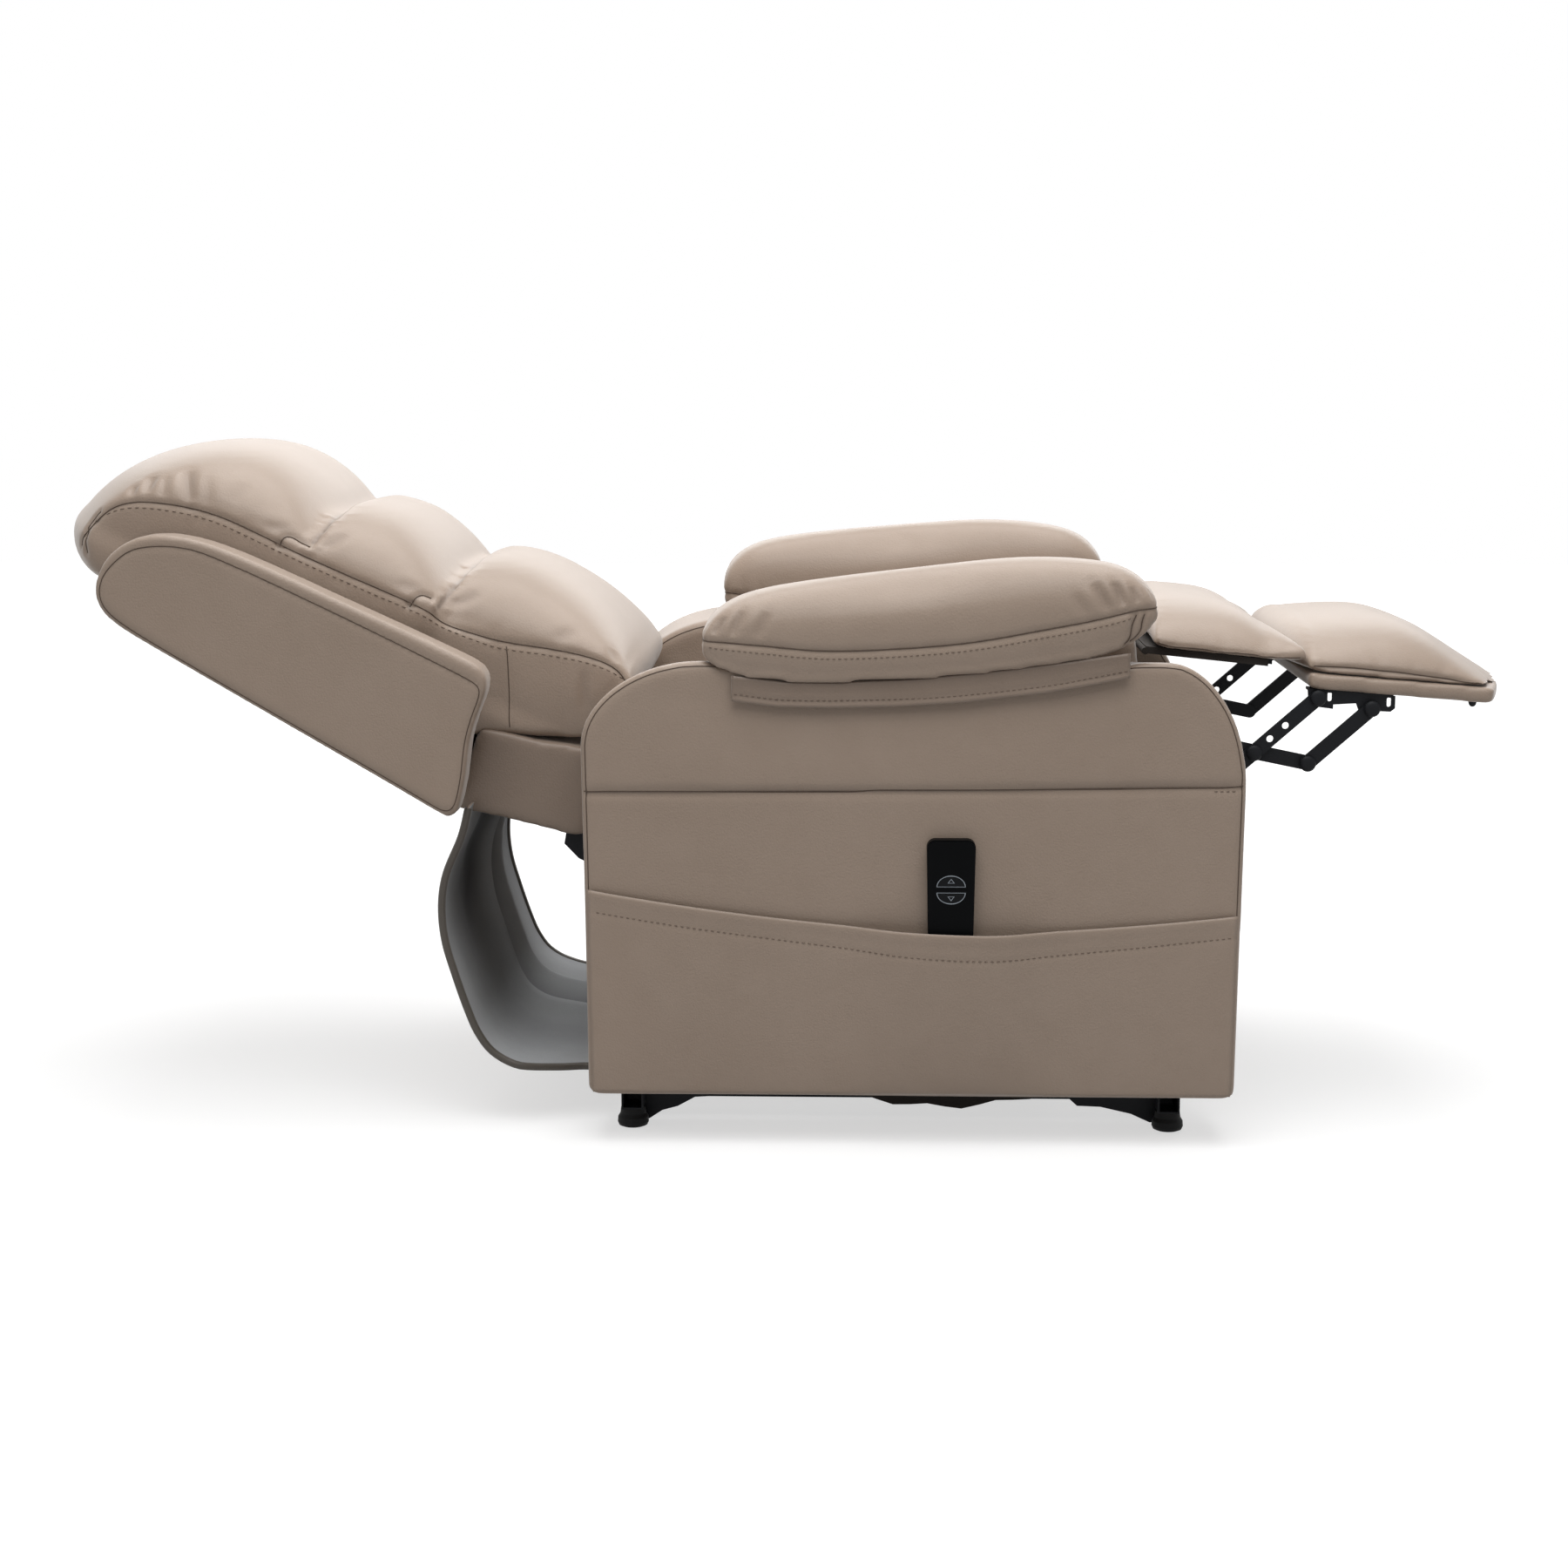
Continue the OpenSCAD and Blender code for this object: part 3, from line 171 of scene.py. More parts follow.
def speckle():
    # fine tone and relief for cloth, wood, paint and plastic
    tree, inp, out = groupOf(
        "speckle",
        [("Vector", "NodeSocketVector", None), ("Size", "NodeSocketFloat", 300.0)],
        [("Tone", "NodeSocketFloat"), ("Height", "NodeSocketFloat")],
    )
    vector = inp.outputs["Vector"]
    broad = noiseNode(tree, vector, 9, 4, 0.6)
    fine = noiseNode(tree, vector, inp.outputs["Size"], 3, 0.6)
    tone = mathNode(tree, "MULTIPLY_ADD", broad, 0.6)
    tree.links.new(mathNode(tree, "MULTIPLY", fine, 0.4), tone.node.inputs[2])
    tree.links.new(tone, out.inputs["Tone"])
    tree.links.new(fine, out.inputs["Height"])
    return tree


grainTree = pebbleGrain()
speckleTree = speckle()


def blankMaterial(name):
    material = bpy.data.materials.new(name)
    material.use_nodes = True
    tree = material.node_tree
    shader = tree.nodes["Principled BSDF"]
    place = tree.nodes.new("ShaderNodeTexCoord")
    return material, tree, shader, place.outputs["Object"]


def toneColour(tree, factor, dark, light):
    ramp = tree.nodes.new("ShaderNodeValToRGB")
    for stop, place, colour in zip(ramp.color_ramp.elements, (0.3, 0.7), (dark, light)):
        stop.position, stop.color = place, (*colour, 1)
    tree.links.new(factor, ramp.inputs["Fac"])
    return ramp.outputs["Color"]


def bumpInto(tree, shader, height, strength, distance):
    bump = tree.nodes.new("ShaderNodeBump")
    setInputs(bump, {"Strength": strength, "Distance": distance})
    tree.links.new(height, bump.inputs["Height"])
    tree.links.new(bump.outputs["Normal"], shader.inputs["Normal"])


def mixPaintedShade(tree, shader, colour, deep):
    # painted shade: the colour darkens towards a shade colour where the mesh's shade attribute says shade falls, in
    # seams, wrinkles and under overhangs
    shadeAmount = tree.nodes.new("ShaderNodeAttribute")
    shadeAmount.attribute_name = "paintedShade"
    mix = tree.nodes.new("ShaderNodeMix")
    mix.data_type = "RGBA"
    setInputs(mix, {"B": deep})
    tree.links.new(shadeAmount.outputs["Fac"], mix.inputs["Factor"])
    tree.links.new(colour, mix.inputs["A"])
    tree.links.new(mix.outputs["Result"], shader.inputs["Base Color"])


def grainOf(tree, group, place, label, value):
    grain = tree.nodes.new("ShaderNodeGroup")
    grain.node_tree = group
    grain.inputs[label].default_value = value
    tree.links.new(place, grain.inputs["Vector"])
    return grain.outputs


def leatherMaterial(name, dark, light, cells, strength, rough):
    material, tree, shader, place = blankMaterial(name)
    grain = grainOf(tree, grainTree, place, "Cells", cells)
    colour = toneColour(tree, grain["Tone"], dark, light)
    # painted shade colour: the leather darkened to about a quarter, mixed in where shade falls
    mixPaintedShade(tree, shader, colour, (dark[0] * 0.3, dark[1] * 0.27, dark[2] * 0.25, 1))
    tree.links.new(mathNode(tree, "ADD", grain["Gloss"], rough, True), shader.inputs["Roughness"])
    bumpInto(tree, shader, grain["Height"], strength, 0.0007)
    setInputs(shader, {
        "Specular IOR Level": 0.45, "Coat Weight": 0.56, "Coat Roughness": 0.36,
        "Sheen Weight": 0.3, "Sheen Roughness": 0.38, "Sheen Tint": (1, 0.985, 0.97, 1),
    })
    return material


def plainMaterial(name, dark, light, size, rough, strength=0.15, metal=0.0, shine=0.5):
    material, tree, shader, place = blankMaterial(name)
    grain = grainOf(tree, speckleTree, place, "Size", size)
    # painted shade colour: near black, mixed in where shade falls
    mixPaintedShade(tree, shader, toneColour(tree, grain["Tone"], dark, light), (0.02, 0.02, 0.022, 1))
    spread = mathNode(tree, "MULTIPLY_ADD", grain["Tone"], 0.12)
    spread.node.inputs[2].default_value = rough - 0.06
    tree.links.new(spread, shader.inputs["Roughness"])
    setInputs(shader, {"Metallic": metal, "Specular IOR Level": shine})
    bumpInto(tree, shader, grain["Height"], strength, 0.0004)
    return material


def woodMaterial(name):
    material, tree, shader, place = blankMaterial(name)
    turn = tree.nodes.new("ShaderNodeMapping")
    turn.inputs["Scale"].default_value = (9, 1.5, 9)
    tree.links.new(place, turn.inputs["Vector"])
    rings = noiseNode(tree, turn.outputs["Vector"], 9, 6, 0.65)
    tree.links.new(toneColour(tree, rings, (0.42, 0.27, 0.14), (0.62, 0.45, 0.27)), shader.inputs["Base Color"])
    shader.inputs["Roughness"].default_value = 0.62
    bumpInto(tree, shader, rings, 0.15, 0.0006)
    return material


look = {
    "leather": leatherMaterial("taupeLeather", (0.290, 0.218, 0.166), (0.325, 0.248, 0.193), 430, 0.42, 0.37),
    # a copy of the leather, painted dark for the shade that the skirt's hems sit in
    "binding": leatherMaterial("shadedHemLeather", (0.060, 0.050, 0.040), (0.080, 0.067, 0.055), 430, 0.42, 0.45),
    "thread": plainMaterial("seamThread", (0.080, 0.058, 0.044), (0.115, 0.084, 0.064), 900, 0.7, shine=0.2),
    "stitch": plainMaterial("topThread", (0.150, 0.112, 0.086), (0.200, 0.152, 0.118), 900, 0.7, shine=0.2),
    "lining": plainMaterial("greyLining", (0.38, 0.392, 0.405), (0.49, 0.503, 0.515), 700, 0.8, 0.3, shine=0.3),
    "blackCloth": plainMaterial(
        "darkLining", (0.030, 0.026, 0.024), (0.052, 0.046, 0.042), 700, 0.85, 0.3, shine=0.15),
    "steel": plainMaterial(
        "powderCoat", (0.0075, 0.008, 0.0095), (0.0135, 0.0145, 0.017), 1400, 0.44, 0.25, shine=0.12),
    "bright": plainMaterial("brightSteel", (0.55, 0.56, 0.58), (0.66, 0.67, 0.69), 500, 0.3, 0.05, 1.0),
    "wood": woodMaterial("frameTimber"),
    "rubber": plainMaterial("footRubber", (0.009, 0.009, 0.009), (0.017, 0.017, 0.0175), 800, 0.62, 0.3, shine=0.15),
    "motor": plainMaterial("motorPlastic", (0.030, 0.031, 0.034), (0.048, 0.049, 0.053), 900, 0.5, 0.2, shine=0.3),
    "handset": plainMaterial(
        "handsetPlastic", (0.0022, 0.0024, 0.0027), (0.004, 0.0043, 0.0048), 1600, 0.46, 0.12, shine=0.04),
    "key": plainMaterial(
        "keyPlastic", (0.0055, 0.006, 0.0068), (0.009, 0.0095, 0.0105), 1600, 0.46, 0.12, shine=0.08),
    "mark": plainMaterial("keyMark", (0.30, 0.34, 0.38), (0.38, 0.42, 0.46), 900, 0.5, 0.05),
}
slotLook = {
    "leather": "leather",
    "lining_cloth": "blackCloth",
    "black_steel": "steel",
    "rod_steel": "bright",
    "frame_wood": "wood",
    "foot_rubber": "rubber",
    "motor_plastic": "motor",
    "handset_plastic": "handset",
    "key_plastic": "key",
}
for part in frame["record"]["subparts"]:
    mesh = nodes[part["node"]].data
    mesh.materials.clear()
    mesh.materials.append(look[slotLook[part["material_slot"]]])
# the back's leather is turned over its upper rail
nodes["back_top_rail"].data.materials[0] = look["leather"]
print("materials built:", len(look))


# ---- shared helpers ----


def meshObject(name, mesh, material):
    piece = bpy.data.objects.new(name, mesh)
    scene.collection.objects.link(piece)
    mesh.materials.clear()
    for each in material if isinstance(material, list) else [material]:
        mesh.materials.append(look[each])
    return piece


def fromBmesh(name, bm, material, smooth=True):
    mesh = bpy.data.meshes.new(name)
    bm.to_mesh(mesh)
    bm.free()
    for face in mesh.polygons:
        face.use_smooth = smooth
    return meshObject(name, mesh, material)


def applied(piece):
    graph = bpy.context.evaluated_depsgraph_get()
    mesh = bpy.data.meshes.new_from_object(piece.evaluated_get(graph))
    piece.modifiers.clear()
    old = piece.data
    piece.data = mesh
    bpy.data.meshes.remove(old)
    for face in mesh.polygons:
        face.use_smooth = True
    return piece


def points(piece):
    co = np.empty(len(piece.data.vertices) * 3)
    piece.data.vertices.foreach_get("co", co)
    return co.reshape(-1, 3)


def normals(piece):
    flat = np.empty(len(piece.data.vertices) * 3)
    piece.data.vertex_normals.foreach_get("vector", flat)
    return flat.reshape(-1, 3)


def setPoints(piece, co):
    piece.data.vertices.foreach_set("co", co.ravel())
    piece.data.update()


def lineField(co, path):
    # distance to a path, and how far along it the nearest point is
    best = np.full(len(co), 1e9)
    along = np.zeros(len(co))
    run = 0.0
    for a, b in zip(path, path[1:]):
        a, b = np.array(a), np.array(b)
        d = b - a
        size = float(np.linalg.norm(d))
        if size < 1e-7:
            continue
        t = np.clip(((co - a) @ d) / (size * size), 0, 1)
        gap = np.linalg.norm(co - (a + t[:, None] * d), axis=1)
        near = gap < best
        best[near] = gap[near]
        along[near] = run + t[near] * size
        run += size
    return best, along, run


def smoothPath(path, step=0.006):
    # a smooth line through the given points, at even steps
    p = [Vector(q) for q in path]
    p = [p[0] * 2 - p[1]] + p + [p[-1] * 2 - p[-2]]
    out = []
    for i in range(1, len(p) - 2):
        n = max(2, int((p[i + 1] - p[i]).length / step))
        for k in range(n):
            t = k / n
            a, b, c, d = p[i - 1], p[i], p[i + 1], p[i + 2]
            out.append(
                (b * 2 + (c - a) * t + (a * 2 - b * 5 + c * 4 - d) * t * t
                 + (b * 3 - a - c * 3 + d) * t ** 3) / 2
            )
    return out + [p[-2]]


def snapped(piece, path, lift=0.0):
    tree = BVHTree.FromObject(piece, bpy.context.evaluated_depsgraph_get())
    out = []
    for q in path:
        spot, normal, _, _ = tree.find_nearest(q)
        out.append(spot + normal * lift)
    return out


def paintShade(piece, amount):
    # painted shade: stores how far each point's colour is darkened for shade, keeping the deeper value
    attribute = piece.data.attributes.get("paintedShade")
    if attribute is None:
        attribute = piece.data.attributes.new("paintedShade", "FLOAT", "POINT")
    now = np.empty(len(piece.data.vertices), np.float32)
    attribute.data.foreach_get("value", now)
    attribute.data.foreach_set("value", np.maximum(now, amount).astype(np.float32))


def calmed(line, passes=4):
    # takes the small kinks out of a line that was laid on a surface
    for _ in range(passes):
        line = [line[0]] + [(a + b * 2 + c) / 4 for a, b, c in zip(line, line[1:], line[2:])] + [line[-1]]
    return line


def groove(piece, path, depth, width, shade=0.35):
    co = points(piece)
    gap, _, _ = lineField(co, path)
    dip = np.exp(-((gap / width) ** 2))
    setPoints(piece, co - normals(piece) * (depth * dip)[:, None])
    # painted shade along the seam's groove
    paintShade(piece, np.exp(-((gap / (width * 0.55)) ** 2)) * shade)


def fold(piece, path, depth, width):
    # a soft wrinkle: a valley between two low ridges, fading at both ends
    co = points(piece)
    gap, along, run = lineField(co, path)
    k = (gap / width) ** 2
    fade = np.clip(np.sin(np.pi * np.clip(along / run, 0.02, 0.98)), 0, 1) ** 0.6
    setPoints(piece, co - normals(piece) * (depth * fade * (1 - 0.9 * k) * np.exp(-k))[:, None])
    # painted shade in the wrinkle's valley
    paintShade(piece, fade * np.exp(-2.2 * k) * min(0.4, depth * 60))


def pucker(piece, path, size, wave, reach, seed, keep=None):
    # gathers that run square to a seam and die away from it
    rng = random.Random(seed)
    co = points(piece)
    gap, along, run = lineField(co, path)
    total = np.zeros(len(co))
    spot = wave * rng.uniform(0.2, 0.8)
    while spot < run:
        width = wave * rng.uniform(0.18, 0.34)
        length = reach * rng.uniform(0.45, 1.25)
        lean = rng.uniform(-0.35, 0.35)
        strength = size * rng.uniform(0.35, 1.15)
        k = ((along - spot - lean * gap) / width) ** 2
        off = 1 - np.exp(-((gap / 0.004) ** 2))
        total += strength * (1 - 1.2 * k) * np.exp(-k) * np.exp(-((gap / length) ** 2)) * off
        spot += wave * rng.uniform(0.6, 1.5)
    if keep is not None:
        total *= keep(co)
    setPoints(piece, co - normals(piece) * total[:, None])


def unevenness(piece, size, scale, seed):
    # the slight lumps of wadding under leather
    co = points(piece)
    rng = random.Random(seed)
    shift = np.zeros(len(co))
    for _ in range(7):
        way = np.array([rng.uniform(-1, 1) for _ in range(3)])
        way /= np.linalg.norm(way)
        shift += np.sin(co @ way * rng.uniform(0.6, 1.6) * scale + rng.uniform(0, 6.3))
    setPoints(piece, co + normals(piece) * (shift * size / 7)[:, None])


def softPart(node, name, curve=2):
    # a CAD solid merged and rounded
    bm = bmesh.new()
    bm.from_mesh(nodes[node].data)
    bmesh.ops.remove_doubles(bm, verts=bm.verts, dist=2e-5)
    bmesh.ops.join_triangles(
        bm, faces=bm.faces, angle_face_threshold=0.8, angle_shape_threshold=1.4,
        cmp_seam=False, cmp_sharp=False, cmp_uvs=False, cmp_vcols=False, cmp_materials=False,
    )
    piece = fromBmesh(name, bm, "leather")
    if curve:
        rounding = piece.modifiers.new("rounding", "SUBSURF")
        rounding.levels = rounding.render_levels = curve
        applied(piece)
    return piece


def evenMesh(piece, voxel, relax):
    # one closed skin of even faces, its corners eased
    even = piece.modifiers.new("even", "REMESH")
    even.mode = "VOXEL"
    even.voxel_size = voxel
    applied(piece)
    bm = bmesh.new()
    bm.from_mesh(piece.data)
    for _ in range(relax):
        bmesh.ops.smooth_vert(bm, verts=bm.verts, factor=0.5, use_axis_x=True, use_axis_y=True, use_axis_z=True)
    bm.to_mesh(piece.data)
    bm.free()
    return piece


def roundCopy(node, name, voxel, relax=6, curve=2):
    return evenMesh(softPart(node, name, curve), voxel, relax)


def slabFrom(name, ends, across, edge, voxel):
    # an upholstered board: an outline given thickness, its edges rounded
    bm = bmesh.new()
    face = bm.faces.new([bm.verts.new(q) for q in ends])
    grown = bmesh.ops.extrude_face_region(bm, geom=[face])
    moved = [g for g in grown["geom"] if isinstance(g, bmesh.types.BMVert)]
    bmesh.ops.translate(bm, verts=moved, vec=(0, across, 0))
    rims = [e for e in bm.edges if abs(e.verts[0].co.y - e.verts[1].co.y) < 1e-6]
    bmesh.ops.bevel(
        bm, geom=rims, offset=edge, segments=5, profile=0.5, affect="EDGES",
        clamp_overlap=True, material=-1,
    )
    bmesh.ops.recalc_face_normals(bm, faces=bm.faces)
    bmesh.ops.triangulate(bm, faces=bm.faces)
    return evenMesh(fromBmesh(name, bm, "leather"), voxel, 4)


def inflate(piece, hold, seams, pressure=3.0, cap=0.006, draw=0.003, frames=14):
    # the cover is drawn in a little, then swells like a filled skin between its seams
    co, out = points(piece), normals(piece)
    still = hold(co, out)
    start = co - out * (draw * (1 - still))[:, None]
    setPoints(piece, start)
    pinned = still > 0.5
    for path in seams:
        gap, _, _ = lineField(co, path)
        pinned |= gap < 0.006
    group = piece.vertex_groups.new(name="hold")
    group.add([int(i) for i in np.where(pinned)[0]], 1, "REPLACE")
    cloth = piece.modifiers.new("cover", "CLOTH")
    s = cloth.settings
    s.quality = 5
    s.mass = 0.35
    s.tension_stiffness = s.compression_stiffness = 15
    s.shear_stiffness = 8
    s.bending_stiffness = 5
    s.air_damping = 3
    s.use_pressure = True
    s.uniform_pressure_force = pressure
    s.vertex_group_mass = "hold"
    s.pin_stiffness = 1
    s.effector_weights.gravity = 0
    cloth.point_cache.frame_start = 1
    cloth.point_cache.frame_end = frames
    for f in range(1, frames + 1):
        scene.frame_set(f)
    applied(piece)
    piece.vertex_groups.clear()
    moved = points(piece) - start
    size = np.linalg.norm(moved, axis=1)
    moved *= np.where(size > cap, cap / np.maximum(size, 1e-9), 1.0)[:, None]
    ends = np.empty(len(piece.data.edges) * 2, np.int32)
    piece.data.edges.foreach_get("vertices", ends)
    a, b = ends[0::2], ends[1::2]
    count = np.maximum(np.bincount(ends, minlength=len(moved)), 1)[:, None]
    for _ in range(5):
        total = np.zeros_like(moved)
        np.add.at(total, a, moved[b])
        np.add.at(total, b, moved[a])
        moved = (moved + total / count) / 2
    setPoints(piece, start + moved)
    scene.frame_set(1)


def refine(piece, levels=1):
    fine = piece.modifiers.new("fine", "SUBSURF")
    fine.levels = fine.render_levels = levels
    applied(piece)


seamRuns = {}
stitchRuns = {}


def laidOn(piece, path, way):
    # each point goes along one direction until it meets the surface
    tree = BVHTree.FromObject(piece, bpy.context.evaluated_depsgraph_get())
    out = []
    for q in path:
        spot = tree.ray_cast(q - way * 0.06, way)[0]
        out.append(spot if spot is not None else q)
    return calmed(out, 3)


def seamOn(piece, body, path, radius=0.0007, lift=0.0002, passes=6):
    line = snapped(piece, calmed(snapped(piece, smoothPath(path, 0.004)), passes), lift)
    seamRuns.setdefault(body, []).append((line, radius))
    return line


def sewn(piece, body, path, depth, width, radius=0.0007, shade=0.35, passes=6):
    groove(piece, path, depth, width, shade)
    return seamOn(piece, body, path, radius, passes=passes)


def stitchOn(piece, body, path, pitch=0.0085, length=0.0056, radius=0.0006):
    line = snapped(piece, calmed(snapped(piece, smoothPath(path, 0.003)), 6), 0.0003)
    stitchRuns.setdefault(body, []).append((line, pitch, length, radius))


def tubes(name, runs, resolution, material):
    # round lines through the given points, each with its own radius
    curve = bpy.data.curves.new(name, "CURVE")
    curve.dimensions = "3D"
    curve.bevel_depth = 1.0
    curve.bevel_resolution = resolution
    curve.use_fill_caps = True
    for line, radius in runs:
        spline = curve.splines.new("POLY")
        spline.points.add(len(line) - 1)
        for target, q in zip(spline.points, line):
            target.co = (*q, 1)
            target.radius = radius
    holder = bpy.data.objects.new(name, curve)
    scene.collection.objects.link(holder)
    mesh = bpy.data.meshes.new_from_object(holder.evaluated_get(bpy.context.evaluated_depsgraph_get()))
    bpy.data.objects.remove(holder)
    for face in mesh.polygons:
        face.use_smooth = True
    return meshObject(name, mesh, material)


def buildSeams():
    for body, runs in seamRuns.items():
        settle(tubes("seams_" + body, runs, 1, "thread"), body, "leather")
    for body, runs in stitchRuns.items():
        bm = bmesh.new()
        for line, pitch, length, radius in runs:
            run, due = 0.0, pitch / 2
            for a, b in zip(line, line[1:]):
                gap = (b - a).length
                while gap > 1e-6 and run + gap >= due:
                    spot = a.lerp(b, (due - run) / gap)
                    turn = (b - a).to_track_quat("X", "Z").to_matrix().to_4x4()
                    shape = Matrix.Diagonal((length / 2, radius, radius, 1))
                    bmesh.ops.create_icosphere(
                        bm, subdivisions=1, radius=1, matrix=Matrix.Translation(spot) @ turn @ shape
                    )
                    due += pitch
                run += gap
        settle(fromBmesh("stitches_" + body, bm, "stitch"), body, "leather")


def walled(piece, thickness, outside=0):
    # thickness for a sheet, on both sides of it
    wall = piece.modifiers.new("wall", "SOLIDIFY")
    wall.thickness = thickness
    wall.offset = 0
    wall.material_offset = wall.material_offset_rim = outside
    return applied(piece)


def settle(piece, body, slot, *replaced):
    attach(piece, body)
    if replaced:
        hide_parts(*replaced)
    return piece


# ---- back cushion: three pillows on one boxing ----

backCushion = {
    "voxel": 0.0065, "cap": 0.009, "draw": 0.005, "half": 275, "lumbarHalf": 252,
    "foot": 62, "headJoin": 488, "lumbarJoin": 327,
    "fill": {  # how far each pillow's upper end rises, and its lower end reaches
        "head_pillow": {"low": 490, "high": 789, "rise": 0, "reach": 7},
        "middle_pillow": {"low": 328, "high": 488, "rise": 20, "reach": 7},
        "lumbar_pillow": {"low": 88, "high": 326, "rise": 16, "reach": 0},
    },
    "seam": [(727, 125), (718, 145), (694, 163), (647, 179), (597, 188), (519, 187), (435, 186),
             (360, 187), (300, 185), (263, 184), (240, 187), (200, 199), (150, 211), (104, 215), (90, 200)],
    "headLoop": [(520, 187), (521, 200), (517, 211), (510, 218), (500, 218), (490, 222)],
    "lumbarLoop": [(358, 186), (356, 200), (351, 216), (344, 223), (335, 223), (328, 227)],
}


def backLocal(co):
    # metres up the back and towards the sitter
    x, z = co[:, 0] - backPivot[0], co[:, 2] - backPivot[1]
    u = -x * math.cos(backSlope) + z * math.sin(backSlope)
    v = x * math.sin(backSlope) + z * math.cos(backSlope)
    return u, v


def shiftBack(co, along, up):
    # moves points up the back and towards the sitter, in metres
    co[:, 0] += up * math.sin(backSlope) - along * math.cos(backSlope)
    co[:, 2] += up * math.cos(backSlope) + along * math.sin(backSlope)


def boxHalf(u):
    # the boxing narrows towards the arms
    return float(np.interp(u, [242, 350], [backCushion["lumbarHalf"], backCushion["half"]]))


def seamHeight(u):
    pts = sorted(backCushion["seam"])
    return float(np.interp(u, [q[0] for q in pts], [q[1] for q in pts]))


def closeJoins(piece, spec):
    # the upper end of a pillow fills out to the one above, and its lower end reaches the join
    co = points(piece)
    u, v = backLocal(co)
    u, v = u * 1000, v * 1000
    wide = 1 - np.clip(np.abs(co[:, 1] * 1000) / backCushion["half"], 0, 1) ** 5
    top = np.clip((u - (spec["high"] - 42)) / 42, 0, 1) ** 2
    above = np.clip((v - 190) / 30, 0, 1)
    rise = spec["rise"] * top * wide * above / 1000
    reach = 6 * top * (spec["rise"] > 0) - spec["reach"] * np.clip((spec["low"] + 30 - u) / 30, 0, 1) ** 2
    shiftBack(co, reach / 1000, rise)
    setPoints(piece, co)


bm = bmesh.new()
for node, spec in backCushion["fill"].items():
    part = softPart(node, node)
    closeJoins(part, spec)
    bm.from_mesh(part.data)
    bpy.data.objects.remove(part)
for high, low in ((545, 436), (380, 242)):
    # boxing that runs on past a join
    made = bmesh.ops.create_cube(bm, size=1)
    for v in made["verts"]:
        u = high if v.co.x > 0 else low
        top = seamHeight(u) - 7 if v.co.z > 0 else backCushion["foot"]
        v.co = backPoint(u, 2 * v.co.y * (boxHalf(u) - 0.5), top)
    bmesh.ops.recalc_face_normals(bm, faces=list({f for v in made["verts"] for f in v.link_faces}))
piece = fromBmesh("backCushion", bm, "leather")
evenMesh(piece, backCushion["voxel"], 6)
sideSeams = [
    smoothPath([backPoint(u, side * boxHalf(u), v) for u, v in backCushion["seam"]], 0.008) for side in (-1, 1)
]


def holdBack(co, out):
    u, v = backLocal(co)
    still = np.clip(np.maximum((0.120 - v) / 0.02, (0.105 - u) / 0.012), 0, 1)
    for join, top in ((backCushion["headJoin"], 0.232), (backCushion["lumbarJoin"], 0.236)):
        inside = (np.abs(u - join / 1000) < 0.007) & (v > 0.19) & (v < top)
        still = np.maximum(still, inside * 0.6)
    return still


inflate(piece, holdBack, sideSeams, cap=backCushion["cap"], draw=backCushion["draw"])
refine(piece)
unevenness(piece, 0.0012, 19, 5)


def aboveSeam(co):
    return (backLocal(co)[1] > 0.17).astype(float) * 0.9 + 0.1


